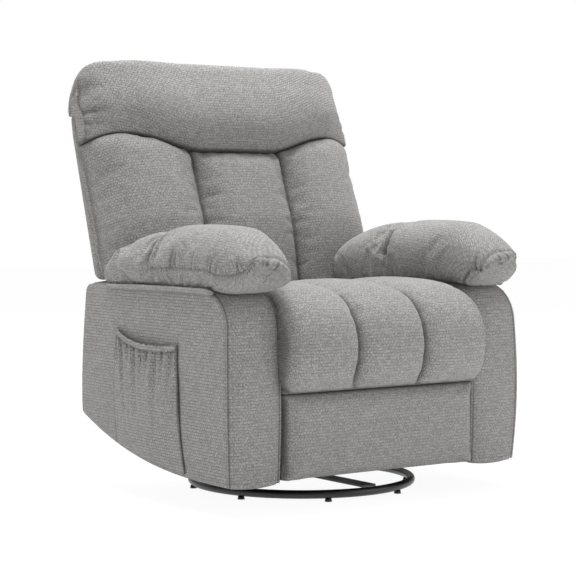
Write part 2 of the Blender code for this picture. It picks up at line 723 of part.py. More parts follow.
def arm_core_outline(grow):
    """Plywood core: the arm's outline drawn in. Grown, it is the slot that opens along the arm's foot."""
    step = ARM_CORE_INSET - grow
    front, rear = ARM_FRONT_Y + step, ARM_REAR_Y - ARM_REAR_RAKE - step
    brow = (ARM_FRONT_Y + ARM_FRONT_RADIUS, ARM_TOP_Z - ARM_FRONT_RADIUS)
    if grow:
        feet = (ARM_FRONT_BOTTOM_Z - step, ARM_FRONT_BOTTOM_Z - step)
    else:
        feet = (arm_foot_z(front) + ARM_CORE_RECESS, arm_foot_z(rear) + ARM_CORE_RECESS)
    points = [(front, feet[0]), (rear, feet[1]), (rear, ARM_TOP_Z - step)]
    return points + arc(brow, ARM_FRONT_RADIUS - step, 90, 180, 5)


def arms():
    """Upholstered arms, each over a plywood core that shows only from below."""
    outline = arm_outline()
    middle = ARM_INNER_X + ARM_WIDTH / 2
    half_core = ARM_CORE_THICKNESS / 2
    for side, sign in SIDES.items():
        turns = [math.radians(angle) for angle in (0, 45, 90)]
        edge = [(ARM_EDGE_ROUND * (1 - math.sin(t)), ARM_EDGE_ROUND * (1 - math.cos(t))) for t in turns]
        stations = [(ARM_INNER_X + step, back) for back, step in edge]
        stations += [(ARM_OUTER_X - step, back) for back, step in edge[::-1]]
        cover = finish(
            loft([across(inset(outline, step), sign * x) for x, step in stations]),
            f"arm_cover_{side}", "chassis", FABRIC, 50.0)
        low, high = sign * (middle - half_core - TOUCH_GAP), sign * (middle + half_core + TOUCH_GAP)
        cutter = loft([across(arm_core_outline(TOUCH_GAP), low), across(arm_core_outline(TOUCH_GAP), high)])
        cut_out(cover, finish(cutter, f"arm_core_cutter_{side}", "chassis", WOOD))
        low, high = sign * (middle - half_core), sign * (middle + half_core)
        core = loft([across(arm_core_outline(0.0), low), across(arm_core_outline(0.0), high)])
        finish(core, f"arm_core_{side}", "chassis", WOOD)


def cut_out(piece, cutter):
    """Take a cutter's shape out of a piece and keep the cutter as a wire guide."""
    modifier = piece.modifiers.new("cut", "BOOLEAN")
    modifier.operation = "DIFFERENCE"
    modifier.object = cutter
    cutter.hide_render = True
    cutter.display_type = "WIRE"


def pad_section(x_in, x_out, low, height):
    """Front view of an arm pad: flat below, full at the sides and domed on top."""
    centre, half = (x_in + x_out) / 2, (x_out - x_in) / 2
    waist = low + PAD_WAIST * height
    points = []
    for step in range(PAD_STEPS):
        turn = 2 * math.pi * step / PAD_STEPS
        cos, sin = math.cos(turn), math.sin(turn)
        x = centre + half * math.copysign(abs(cos) ** PAD_SIDE_POWER, cos)
        if sin > 0:
            rise = (1.0 - PAD_WAIST) * sin ** PAD_TOP_POWER
        else:
            rise = -PAD_WAIST * abs(sin) ** PAD_FOOT_POWER
        points.append((x, waist + rise * height))
    return points


def rounded_end(share):
    """Fullness of a pad near one end: 0 at its tip and 1 beyond its rounded part."""
    return math.sqrt(max(1.0 - (1.0 - min(share, 1.0)) ** PAD_END_POWER, 0.0))


def back_face_y(x, z):
    """Front of the lower back cushion at a place beside it."""
    reach = min(abs(x), BACK_HALF_WIDTH)
    share = max(reach - BACK_CHANNEL_X, 0.0) / (BACK_HALF_WIDTH - BACK_CHANNEL_X)
    depth = back_front_w(reach, share, BACK_HALF_WIDTH, 0.0)
    return RECLINE_AXIS[0] + (z - RECLINE_AXIS[1]) * math.tan(BACK_LEAN) - depth / math.cos(BACK_LEAN)


def arm_pads():
    """Stuffed pads on the arms, hung over the arm's front and shaped at the rear to the back's wings."""
    x_in, x_out = ARM_INNER_X + PAD_INNER_SET, ARM_OUTER_X + PAD_OVERHANG
    brow_y = ARM_FRONT_Y + ARM_FRONT_RADIUS
    outer_length = back_face_y(ARM_OUTER_X, ARM_TOP_Z) - PAD_FRONT_Y
    width = x_out - x_in
    for side, sign in SIDES.items():
        rings = []
        for t in PAD_STATIONS:
            front = rounded_end(t / PAD_FRONT_SHARE)
            rear = rounded_end((1.0 - t) / PAD_REAR_SHARE)
            swell = 1.0 - PAD_SWELL + PAD_SWELL * math.sin(math.pi * (1.0 - 0.85 * t))
            height = PAD_HEIGHT * swell * (PAD_END_HEIGHT + (1.0 - PAD_END_HEIGHT) * min(front, rear))
            past = max(brow_y - PAD_FRONT_Y - t * outer_length, 0.0) / (brow_y - PAD_FRONT_Y)
            low = ARM_TOP_Z + TOUCH_GAP - PAD_DROOP * past ** 2
            low += PAD_HEIGHT * ((1.0 - front) * PAD_FRONT_LIFT + (1.0 - rear) * PAD_REAR_LIFT)
            inner = x_in + width * (PAD_FRONT_DRAW[0] * (1.0 - front) + PAD_REAR_DRAW[0] * (1.0 - rear))
            outer = x_out - width * (PAD_FRONT_DRAW[1] * (1.0 - front) + PAD_REAR_DRAW[1] * (1.0 - rear))
            ring = []
            for x, z in pad_section(inner, outer, low, height):
                length = back_face_y(x, z) - PAD_BACK_GAP - PAD_FRONT_Y
                ring.append((sign * x, PAD_FRONT_Y + length * t, z))
            rings.append(ring)
        finish(loft(rings), f"arm_pad_{side}", "chassis", FABRIC, 60.0)


def arm_foot_z(y):
    """Height of an arm's lower edge at a place along it."""
    t = (y - ARM_FRONT_Y) / (ARM_REAR_Y - ARM_FRONT_Y)
    return ARM_FRONT_BOTTOM_Z + (ARM_REAR_BOTTOM_Z - ARM_FRONT_BOTTOM_Z) * t ** ARM_FOOT_POWER


def side_pocket():
    """Cloth pocket on the right arm: sewn down at its sides and foot, slack at its elastic mouth."""
    columns, rows = POCKET_COLUMNS, POCKET_ROWS
    face = ARM_OUTER_X + TOUCH_GAP
    outer, inner = [], []
    for row in range(rows + 1):
        up = row / rows
        outer_row, inner_row = [], []
        for column in range(columns + 1):
            share = column / columns
            y = POCKET_FRONT_Y + (POCKET_REAR_Y - POCKET_FRONT_Y) * share
            mouth = POCKET_MOUTH_FRONT_Z + (POCKET_MOUTH_REAR_Z - POCKET_MOUTH_FRONT_Z) * share
            mouth -= POCKET_MOUTH_DIP * math.sin(math.pi * share)
            foot = arm_foot_z(y) + 2 * ARM_EDGE_ROUND
            z = foot + (mouth - foot) * up
            slack = POCKET_BULGE * math.sin(math.pi * share) ** POCKET_SIDE_POWER
            slack *= math.sin(math.pi / 2 * up) ** POCKET_RISE_POWER
            outer_row.append((-(face + slack + POCKET_CLOTH), y, z))
            inner_row.append((-(face + slack), y, z))
        outer.append(outer_row)
        inner.append(inner_row)
    finish(shell_between(outer, inner), "side_pocket", "chassis", FABRIC, 60.0)


def shell_between(outer, inner):
    """Closed body between two grids of points with the same edges."""
    bm = bmesh.new()
    front = [[bm.verts.new(point) for point in row] for row in outer]
    back = [[bm.verts.new(point) for point in row] for row in inner]
    rows, columns = len(outer), len(outer[0])
    for grid in (front, back):
        for r in range(rows - 1):
            for c in range(columns - 1):
                bm.faces.new((grid[r][c], grid[r][c + 1], grid[r + 1][c + 1], grid[r + 1][c]))
    wall(bm, rim(front), rim(back))
    return bm


def rim(grid):
    """Border of a grid, once round."""
    loop = list(grid[0])
    loop += [row[-1] for row in grid[1:]]
    loop += grid[-1][-2::-1]
    loop += [row[0] for row in grid[-2:0:-1]]
    return loop


def footrest_links():
    """Straps of the footrest, both sides alike, with their rivets."""
    rod = CROSS_BAR_RADIUS
    for side, sign in SIDES.items():
        swing = hull([(FRONT_PIVOT, LINK_RADIUS), (SWING_FOOT, LINK_RADIUS), (SWING_CRANK, LINK_RADIUS)])
        holes = [hole(FRONT_PIVOT), hole(SWING_FOOT), hole(SWING_CRANK)]
        bm = side_plate(swing, holes, sign * SWING_INNER_X, sign * SWING_OUTER_X)
        finish(bm, f"swing_link_{side}", "swing_links", STEEL)

        rear = hull([(REAR_PIVOT, LINK_RADIUS), (REAR_FOOT, LINK_RADIUS)])
        bm = side_plate(rear, [hole(REAR_PIVOT), hole(REAR_FOOT)], sign * SWING_INNER_X, sign * SWING_OUTER_X)
        finish(bm, f"rear_link_{side}", "rear_links", STEEL)

        carrier = hull([(REAR_FOOT, LINK_RADIUS), (SWING_FOOT, LINK_RADIUS), (FOOTREST_PIVOT, LINK_RADIUS)])
        rivets = [pin(REAR_FOOT), pin(SWING_FOOT), pin(FOOTREST_PIVOT)]
        end = sign * SWING_OUTER_X
        bm = side_plate(carrier, [], sign * CARRIER_OUTER_X, sign * CARRIER_INNER_X, rivets, end)
        finish(bm, f"carrier_link_{side}", "carriers", STEEL)

        drive = hull([(SWING_CRANK, LINK_RADIUS), (FOOTREST_CRANK, LINK_RADIUS)])
        rivets = [pin(SWING_CRANK), pin(FOOTREST_CRANK)]
        bm = side_plate(drive, [], sign * DRIVE_OUTER_X, sign * DRIVE_INNER_X, rivets, end)
        finish(bm, f"drive_link_{side}", "drive_links", STEEL)

        edge = BOARD_REAR_Y + TOUCH_GAP + LINK_RADIUS
        corners = [((edge, FOOTREST_PIVOT[1] + rise), LINK_RADIUS) for rise in BRACKET_RISES]
        arm = hull([(FOOTREST_PIVOT, LINK_RADIUS), (FOOTREST_CRANK, LINK_RADIUS)] + corners)
        holes = [hole(FOOTREST_PIVOT), hole(FOOTREST_CRANK)]
        bm = side_plate(arm, holes, sign * SWING_INNER_X, sign * SWING_OUTER_X)
        finish(bm, f"footrest_bracket_{side}", "footrest", STEEL)
    end = SWING_INNER_X - TOUCH_GAP
    finish(rod_along_x(CROSS_BAR, rod, -end, end), "footrest_cross_bar", "swing_links", STEEL)


def footrest_panel():
    """Board and stuffed pad of the footrest, stowed upright under the seat's front roll."""
    low, high = FOOTREST_BOTTOM_Z, FOOTREST_TOP_Z
    margin = FOOTREST_PAD_ROUND / 3
    half = SEAT_HALF_WIDTH - margin
    board = block((-half, BOARD_FRONT_Y, low + margin), (half, BOARD_REAR_Y, high - margin))
    finish(board, "footrest_board", "footrest", WOOD)
    rear = BOARD_FRONT_Y - TOUCH_GAP
    front = rear - FOOTREST_PAD_THICKNESS
    r = FOOTREST_PAD_ROUND
    rings = []
    for column in range(FOOTREST_COLUMNS + 1):
        edge = 2.0 * column / FOOTREST_COLUMNS - 1.0
        crown = FOOTREST_PAD_CROWN * (1.0 - edge ** 4)
        face = front + (FOOTREST_PAD_THICKNESS - r) / 2 * edge ** FOOTREST_EDGE_POWER
        points = [(rear, low), (rear, high)]
        points += arc((face + r, high - r), r, 90, 180, 4)
        points += [(face - crown, low + (high - low) * share) for share in (2 / 3, 1 / 3)]
        points += arc((face + r, low + r), r, 180, 270, 4)
        rings.append(across(points, SEAT_HALF_WIDTH * edge))
    finish(loft(rings), "footrest_pad", "footrest", FABRIC, 60.0)


def back_local(x, v, w):
    """Point of the leaning back: v runs up along it and w runs forward from its axis."""
    return (x, -w, v)


def shell_outline(draw_in):
    """Front view of the outer back, drawn in by a distance."""
    low, high = SHELL_BOTTOM_V + draw_in, SHELL_TOP_V - draw_in
    wide, narrow = BACK_HALF_WIDTH - draw_in, BACK_TOP_HALF_WIDTH - draw_in
    r = SHELL_CORNER - draw_in * 0.5
    foot = r / 2
    right = arc((wide - foot, low + foot), foot, -90, 0, 3) + arc((narrow - r, high - r), r, 0, 90, 5)
    return right + [(-x, v) for x, v in right[::-1]]


def outer_back():
    """Padded tray behind the back: a rear skin with a rim round it."""
    rear, rim_w = BACK_REAR_W, BACK_REAR_W + SHELL_DEPTH
    soft = SHELL_SKIN / 2
    stations = (
        (soft, rear),
        (0.0, rear + soft),
        (0.0, rim_w),
        (SHELL_RIM, rim_w),
        (SHELL_RIM, rear + SHELL_SKIN),
    )
    rings = [[back_local(x, v, w) for x, v in shell_outline(step)] for step, w in stations]
    tray = finish(loft(rings), "outer_back", "backrest", FABRIC, 50.0, local=True)
    half = SWING_INNER_X
    low = (-half, -rim_w - SHELL_RIM, SHELL_BOTTOM_V - SHELL_RIM)
    high = (half, -rear - SHELL_SKIN, SHELL_BOTTOM_V + 2 * SHELL_RIM)
    cut_out(tray, finish(block(low, high), "tongue_cutter", "backrest", WOOD, local=True))


def back_panel():
    """Plywood back with a tongue that reaches down between the arms to the brackets."""
    low_w = BACK_REAR_W + SHELL_SKIN + TOUCH_GAP
    high_w = low_w + BACK_PANEL_THICKNESS
    wide = BACK_HALF_WIDTH - SHELL_RIM - BACK_PANEL_MARGIN
    narrow = BACK_TOP_HALF_WIDTH - SHELL_RIM - BACK_PANEL_MARGIN
    tongue = SWING_INNER_X - TOUCH_GAP
    step_v = SHELL_BOTTOM_V + SHELL_RIM + SIDE_GAP
    top_v = SHELL_TOP_V - SHELL_RIM - BACK_PANEL_MARGIN
    half = [(tongue, 0.0), (tongue, step_v), (wide, step_v), (narrow, top_v)]
    outline = half + [(-x, v) for x, v in half[::-1]]
    rings = [[back_local(x, v, w) for x, v in outline] for w in (low_w, high_w)]
    finish(loft(rings), "back_panel", "backrest", WOOD, local=True)


def back_brackets():
    """Steel straps from the recline pivot up along the panel's tongue."""
    high_w = BACK_REAR_W + SHELL_SKIN + TOUCH_GAP + BACK_PANEL_THICKNESS
    head = ((LINK_RADIUS - high_w, BACK_BRACKET_TOP_V), LINK_RADIUS)
    outline = hull([((0.0, 0.0), BACK_EYE_RADIUS), head])
    for side, sign in SIDES.items():
        bm = side_plate(outline, [hole((0.0, 0.0))], sign * SWING_INNER_X, sign * SWING_OUTER_X)
        finish(bm, f"back_bracket_{side}", "backrest", STEEL, local=True)


def wave_v(x):
    """Seam under the head pillow: low in the middle, and lifted towards the sides."""
    share = min(abs(x) / BACK_HALF_WIDTH, 1.0)
    lift = min(max((share - WAVE_START) / WAVE_SPAN, 0.0), 1.0)
    return WAVE_MIDDLE_V + WAVE_RISE * math.sin(math.pi * lift) ** 2


def back_columns(half_width):
    """Places across the back: three channels between two seams and the sides."""
    seams = (-half_width, -BACK_CHANNEL_X, BACK_CHANNEL_X, half_width)
    places = []
    for first, second in zip(seams, seams[1:]):
        shares = [step / CHANNEL_STEPS for step in range(CHANNEL_STEPS)]
        places += [(first + (second - first) * share, share) for share in shares]
    return places + [(half_width, 1.0)]


def back_front_w(x, share, half_width, draw):
    """Front of the lower back cushion, drawn in towards its rows' ends."""
    side = max(abs(x) - BACK_CHANNEL_X, 0.0) / (half_width - BACK_CHANNEL_X)
    groove = GROOVE_W + (CUSHION_EDGE_W - GROOVE_W) * side ** CUSHION_SIDE_POWER
    return groove + BACK_CHANNEL_CROWN * bulge(share) * (1.0 - draw) - CUSHION_DRAW * draw


def back_cushion():
    """Lower back cushion: a narrow foot between the arms and wings over them, with two sewn seams."""
    rear_w = BACK_REAR_W + SHELL_DEPTH + TOUCH_GAP
    foot = WING_V - CUSHION_BOTTOM_V
    front, back = [], []
    for up, draw in FOOT_ROWS:
        v = CUSHION_BOTTOM_V + foot * up
        places = back_columns(SEAT_HALF_WIDTH)
        front.append([back_local(x, v, back_front_w(x, share, SEAT_HALF_WIDTH, draw)) for x, share in places])
        back.append([back_local(x, v, rear_w) for x, share in places])
    for up, draw in WING_ROWS:
        places = back_columns(BACK_HALF_WIDTH)
        tops = [WING_V + (wave_v(x) - SEAM_GAP - WING_V) * up for x, share in places]
        depths = [back_front_w(x, share, BACK_HALF_WIDTH, draw) for x, share in places]
        front.append([back_local(x, v, w) for (x, _), v, w in zip(places, tops, depths)])
        back.append([back_local(x, v, rear_w) for (x, _), v in zip(places, tops)])
    finish(shell_between(front, back), "back_cushion", "backrest", FABRIC, 60.0, local=True)


def pillow_section(x):
    """Side view of the head pillow at a place across the back, as (v, w)."""
    share = abs(x) / BACK_HALF_WIDTH
    corner = max(abs(x) - (BACK_HALF_WIDTH - PILLOW_CORNER_X), 0.0) / PILLOW_CORNER_X
    drop = PILLOW_CORNER_V * (1.0 - math.sqrt(max(1.0 - corner ** 2, 0.0)))
    full = 1.0 - share ** PILLOW_END_POWER
    rear_w = BACK_REAR_W + SHELL_DEPTH + TOUCH_GAP
    low = wave_v(x)
    top = PILLOW_TOP_V - drop
    edge = SHELL_TOP_V + SEAM_GAP
    front_w = CUSHION_EDGE_W + (GROOVE_W - PILLOW_TUCK - CUSHION_EDGE_W) * full
    crown_w = CUSHION_EDGE_W + (PILLOW_CROWN_W - CUSHION_EDGE_W) * full
    chin = (low, front_w)
    brow = (low + PILLOW_BROW * (top - low), crown_w - PILLOW_SLOPE / 2 * full)
    summit = (top, rear_w + PILLOW_SUMMIT)
    hem = (edge, BACK_REAR_W)
    points = [(low, rear_w), chin]
    points += bezier(chin, (low + PILLOW_CHIN[0], crown_w), (low + PILLOW_CHIN[1], crown_w), brow, 5)
    over = (brow[0] + PILLOW_BROW_RISE, brow[1] - PILLOW_SLOPE * full)
    points += bezier(brow, over, (top, summit[1] + PILLOW_TOP_PULL * full), summit, 5)
    points += bezier(summit, (top, rear_w), ((top + edge) / 2, BACK_REAR_W - PILLOW_REAR_BULGE), hem, 5)
    return points + [(edge, rear_w)]


def head_pillow():
    """Head pillow that rolls over the top of the outer back."""
    rings = []
    for x, _ in back_columns(BACK_HALF_WIDTH):
        taper = (BACK_HALF_WIDTH - BACK_TOP_HALF_WIDTH) / BACK_HALF_WIDTH
        ring = []
        for v, w in pillow_section(x):
            up = min(max((v - WAVE_MIDDLE_V) / (PILLOW_TOP_V - WAVE_MIDDLE_V), 0.0), 1.0)
            ring.append(back_local(x * (1.0 - taper * up), v, w))
        rings.append(ring)
    finish(loft(rings), "head_pillow", "backrest", FABRIC, 60.0, local=True)


def rear_flap():
    """Cloth panel that hangs from the outer back and closes the gap between the arms."""
    axis = Vector((0.0, *RECLINE_AXIS))
    foot = Vector(back_local(0.0, SHELL_BOTTOM_V, BACK_REAR_W + SHELL_SKIN / 2))
    top = axis + Matrix.Rotation(-BACK_LEAN, 3, "X") @ foot
    rear = top.y + FLAP_THICKNESS / 2
    high = top.z - TOUCH_GAP
    half = SWING_INNER_X - TOUCH_GAP
    bm = block((-half, rear - FLAP_THICKNESS, FLAP_BOTTOM_Z), (half, rear, high))
    bmesh.ops.rotate(bm, verts=bm.verts[:], cent=axis, matrix=Matrix.Rotation(BACK_LEAN, 3, "X"))
    bmesh.ops.translate(bm, verts=bm.verts[:], vec=-axis)
    finish(bm, "rear_flap", "backrest", FABRIC, local=True)


def release_strap():
    """Webbing tab between the seat and the right arm that lets the footrest go."""
    x = -(SEAT_HALF_WIDTH + SIDE_GAP / 2)
    half = STRAP_WIDTH / 2
    low = SEAT_BOARD_TOP_Z
    outline = [(STRAP_Y - half, low), (STRAP_Y + half, low)]
    outline += arc((STRAP_Y, STRAP_TOP_Z - half), half, 0, 180, 8)
    bm = side_plate(outline, [], x - STRAP_THICKNESS / 2, x + STRAP_THICKNESS / 2)
    finish(bm, "release_strap", "release", WEBBING)


def centre_outline(root):
    """Bring the middle of the chair's outline over the origin."""
    bpy.context.view_layer.update()
    solid = [(item.matrix_world @ vertex.co).y for item in bpy.data.objects
             if item.type == "MESH" and not item.hide_render for vertex in item.data.vertices]
    root.location.y = -(min(solid) + max(solid)) / 2
    bpy.context.view_layer.update()


clear_scene()
FABRIC = make_material("grey_weave", (0.33, 0.32, 0.31), 0.95)
STEEL = make_material("black_steel", (0.02, 0.02, 0.02), 0.45, 1.0)
ZINC = make_material("zinc_plate", (0.55, 0.55, 0.56), 0.35, 1.0)
PLASTIC = make_material("black_plastic", (0.015, 0.015, 0.015), 0.5)
NYLON = make_material("white_nylon", (0.75, 0.74, 0.70), 0.5)
WOOD = make_material("plywood", (0.55, 0.40, 0.24), 0.7)
WEBBING = make_material("dark_webbing", (0.05, 0.05, 0.05), 0.9)
BODIES = make_bodies()
base_ring()
base_feet()
base_spokes()
swivel_bearing()
turntable_plate()
rock_brackets()
rock_springs()
rocker_cradle()
cross_tubes()
mechanism_plates()
seat_box()
seat_cushion()
arms()
arm_pads()
side_pocket()
footrest_links()
footrest_panel()
outer_back()
back_panel()
back_brackets()
back_cushion()
head_pillow()
rear_flap()
release_strap()
centre_outline(BODIES["base"])
for body_name, body_empty in BODIES.items():
    print("joint", body_name, [round(value, 5) for value in body_empty.matrix_world.translation])
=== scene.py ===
"""Looks of an upholstered swivel rocking recliner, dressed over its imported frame.

Chair coordinates are measured from the swivel axis: the sitter faces -Y and the pocket is at -X.
Places on the leaning back are (x, v, w): v runs up along it and w runs forward from its hinge.
"""

import json
import math

import bmesh
import bpy
import numpy as np
from bpy.props import (
    FloatProperty,
    FloatVectorProperty,
    IntProperty,
    PointerProperty,
)
from mathutils import Matrix, Vector


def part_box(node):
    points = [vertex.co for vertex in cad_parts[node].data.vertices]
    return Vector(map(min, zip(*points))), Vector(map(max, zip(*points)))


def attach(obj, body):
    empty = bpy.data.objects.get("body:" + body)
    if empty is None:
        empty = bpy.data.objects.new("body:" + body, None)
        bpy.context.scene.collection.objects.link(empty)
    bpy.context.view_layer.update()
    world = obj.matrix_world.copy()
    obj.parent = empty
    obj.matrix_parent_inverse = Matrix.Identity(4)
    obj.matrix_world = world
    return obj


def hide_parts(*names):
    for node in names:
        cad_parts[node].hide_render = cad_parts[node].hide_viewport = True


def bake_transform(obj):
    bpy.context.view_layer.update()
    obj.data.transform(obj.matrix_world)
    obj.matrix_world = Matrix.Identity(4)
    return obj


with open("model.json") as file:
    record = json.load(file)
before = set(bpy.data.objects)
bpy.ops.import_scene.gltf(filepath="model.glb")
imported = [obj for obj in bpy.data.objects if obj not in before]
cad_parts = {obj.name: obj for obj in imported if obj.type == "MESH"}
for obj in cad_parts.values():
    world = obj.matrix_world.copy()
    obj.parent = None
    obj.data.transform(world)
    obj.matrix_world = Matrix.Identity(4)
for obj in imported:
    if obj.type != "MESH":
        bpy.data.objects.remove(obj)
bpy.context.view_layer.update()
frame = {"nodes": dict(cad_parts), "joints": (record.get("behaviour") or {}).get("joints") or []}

bl_info = {
    "name": "Swivel rocking recliner",
    "version": (1, 0, 0),
    "blender": (4, 5, 0),
    "location": "View3D > Sidebar > Recliner",
    "description": "Upholstery, base and mechanism finishes of a swivel rocking recliner",
    "category": "Object",
}

JOINTS = {joint["name"]: joint for joint in frame["joints"]}
AXIS_Y = JOINTS["swivel"]["pos_m"][1]
HINGE_Y = JOINTS["recline"]["pos_m"][1] - AXIS_Y
HINGE_Z = JOINTS["recline"]["pos_m"][2]
SIDES = {"right": -1.0, "left": 1.0}


def extent(node, axis, end):
    """One side of a node's box, in chair coordinates."""
    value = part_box(node)[end][axis]
    return value - AXIS_Y if axis == 1 else value


ARM_OUTER_X = extent("arm_cover_left", 0, 1)
ARM_INNER_X = extent("arm_cover_left", 0, 0)
ARM_TOP_Z = extent("arm_cover_left", 2, 1)
ARM_FOOT_Z = extent("arm_cover_left", 2, 0)
ARM_REAR_Y = extent("arm_cover_left", 1, 1)
SEAT_HALF = extent("seat_cushion", 0, 1)
SEAT_REAR_Y = extent("seat_cushion", 1, 1)
SEAT_TAIL_Y = 0.138
SEAM_Z = extent("seat_cushion", 2, 0)
BACK_HALF = extent("outer_back", 0, 1)
FOOTREST_LOW_Z = extent("footrest_pad", 2, 0)
FOOTREST_HIGH_Z = extent("footrest_pad", 2, 1)
FOOTREST_REAR_Y = extent("footrest_pad", 1, 1)
FOOTREST_FRONT_Y = extent("footrest_pad", 1, 0)

# Fixed sizes: along an arm, up the leaning back (V), forward from its hinge (W)
ARM_FRONT_Y = -0.300
ARM_HEEL_Z = 0.174
ARM_EDGE = 0.008
ARM_CENTRE = np.array([0.02, 0.285])
BACK_FOOT_V = 0.018
WING_V = 0.158
WAVE_V = 0.458
SHELL_LOW_V = 0.165
SHELL_TOP_V = 0.622
HEM_TOP_V = 0.623
SHELL_TAPER = 0.014
SHELL_CORNER = 0.045
SHELL_BORDER = 0.012
SHELL_PITCH = 0.011
REAR_W = 0.0207
CUSHION_REAR_W = 0.059
SIDE_W = 0.103
RING_RADIUS = 0.264
GLIDES = 8
THREAD_LIFT = 0.0004
ON_SEAM = 0.0004
TO_FRAME = np.array((0.0, AXIS_Y, 0.0))


class ChairFabric(bpy.types.PropertyGroup):
    """Cloth and thread"""

    colour: FloatVectorProperty(
        name="Cloth colour", description="Mean colour of the grey chenille", subtype="COLOR",
        size=3, min=0.0, max=1.0, default=(0.315, 0.306, 0.298))
    thread: FloatVectorProperty(
        name="Thread colour", description="Colour of the sewing thread", subtype="COLOR",
        size=3, min=0.0, max=1.0, default=(0.20, 0.195, 0.19))
    rib: FloatProperty(
        name="Rib height", description="Height of one row of the weave", unit="LENGTH", default=0.0068)
    stitch_pitch: FloatProperty(
        name="Stitch pitch", description="Distance from stitch to stitch", unit="LENGTH", default=0.0050)
    stitch_length: FloatProperty(
        name="Stitch length", description="Length of thread that shows", unit="LENGTH", default=0.0034)
    stitch_width: FloatProperty(
        name="Stitch width", description="Thickness of the thread", unit="LENGTH", default=0.0009)


class ChairForm(bpy.types.PropertyGroup):
    """Shapes of the stuffed pieces"""

    seat_crown: FloatProperty(
        name="Seat crown", description="Height of the seat's brow", unit="LENGTH", default=0.481)
    seat_rear: FloatProperty(
        name="Seat rear", description="Height of the seat at the back", unit="LENGTH", default=0.424)
    seat_front: FloatProperty(
        name="Seat front", description="Foremost line of the front roll", unit="LENGTH", default=-0.342)
    channel_crown: FloatProperty(
        name="Seat channel crown", description="Swell of a seat channel between its seams",
        unit="LENGTH", default=0.011)
    back_lean: FloatProperty(
        name="Back lean", description="Lean of the back from upright", subtype="ANGLE",
        default=math.radians(21.0))
    back_seam: FloatProperty(
        name="Back seam", description="Distance of a back seam from the middle", unit="LENGTH", default=0.133)
    back_crown: FloatProperty(
        name="Back crown", description="Swell of a back channel between its seams",
        unit="LENGTH", default=0.019)
    pillow_top: FloatProperty(
        name="Pillow top", description="Top of the head pillow along the back", unit="LENGTH", default=0.700)
    pillow_crown: FloatProperty(
        name="Pillow crown", description="Foremost line of the head pillow", unit="LENGTH", default=0.199)
    pad_front: FloatProperty(
        name="Pad front", description="Foremost point of an arm pad", unit="LENGTH", default=-0.345)
    pad_height: FloatProperty(
        name="Pad height", description="Height of an arm pad over its arm", unit="LENGTH", default=0.148)
    arm_bulge: FloatProperty(
        name="Arm bulge", description="Swell of an arm's outer panel", unit="LENGTH", default=0.005)
    stuffing: FloatProperty(
        name="Stuffing pressure", description="Pressure that swells the stuffed pieces", default=4.0)
    settle_frames: IntProperty(
        name="Settling frames", description="Frames that the stuffing takes to settle", default=18)


class ChairStage(bpy.types.PropertyGroup):
    """Camera and studio"""

    azimuth: FloatProperty(
        name="Azimuth", description="Direction of the camera round the chair", subtype="ANGLE",
        default=math.radians(-36.0))
    distance: FloatProperty(
        name="Distance", description="Distance of the camera from the swivel axis",
        unit="LENGTH", default=4.343)
    height: FloatProperty(
        name="Height", description="Height of the camera", unit="LENGTH", default=0.6706)
    yaw: FloatProperty(
        name="Yaw", description="Turn of the camera from the axis", subtype="ANGLE", default=0.0074)
    pitch: FloatProperty(
        name="Pitch", description="Downward tilt of the camera", subtype="ANGLE", default=0.0451)
    lens: FloatProperty(
        name="Lens", description="Focal length on a 36 mm sensor", subtype="DISTANCE_CAMERA", default=112.94)
    key: FloatProperty(
        name="Key light", description="Power of the large light", unit="POWER", default=262.0)
    fill: FloatProperty(
        name="Fill light", description="Power of the light on the other side", unit="POWER", default=24.0)
    ambient: FloatProperty(
        name="Ambient", description="Strength of the room's light", default=0.39)


def settings(kind):
    """One of the chair's groups of settings."""
    return getattr(bpy.context.scene, "chair_" + kind)


# Node trees

def shader_group(name, inputs, outputs):
    """Empty shader group with float inputs and outputs, and its end nodes."""
    tree = bpy.data.node_groups.new(name, "ShaderNodeTree")
    for label, default in inputs:
        socket = tree.interface.new_socket(label, in_out="INPUT", socket_type="NodeSocketFloat")
        socket.default_value = default
    for label in outputs:
        tree.interface.new_socket(label, in_out="OUTPUT", socket_type="NodeSocketFloat")
    return tree, tree.nodes.new("NodeGroupInput"), tree.nodes.new("NodeGroupOutput")


def add_node(tree, kind, links=(), **values):
    """Node with its settings and with its inputs linked as (input, socket)."""
    node = tree.nodes.new(kind)
    for key, value in values.items():
        setattr(node, key, value)
    for place, source in links:
        if hasattr(source, "node"):
            tree.links.new(source, node.inputs[place])
        else:
            node.inputs[place].default_value = source
    return node


def maths(tree, operation, first, second):
    """Result of a Math node."""
    return add_node(tree, "ShaderNodeMath", [(0, first), (1, second)], operation=operation).outputs[0]


def vector_maths(tree, operation, first, second):
    """Result of a Vector Math node; a scale's number goes to its fourth input."""
    links = [(0, first), (3 if operation == "SCALE" else 1, second)]
    return add_node(tree, "ShaderNodeVectorMath", links, operation=operation).outputs[0]


def noise(tree, place, scale, detail):
    """Noise texture at a place."""
    links = [("Vector", place), ("Scale", scale), ("Detail", detail)]
    return add_node(tree, "ShaderNodeTexNoise", links)


def set_values(node, values):
    """Set a node's inputs by their labels."""
    for label, value in values.items():
        node.inputs[label].default_value = value


def embossed(tree, shader, height, strength, distance):
    """Give a shader a fine relief."""
    links = [("Height", height), ("Strength", strength), ("Distance", distance)]
    tree.links.new(add_node(tree, "ShaderNodeBump", links).outputs[0], shader.inputs["Normal"])


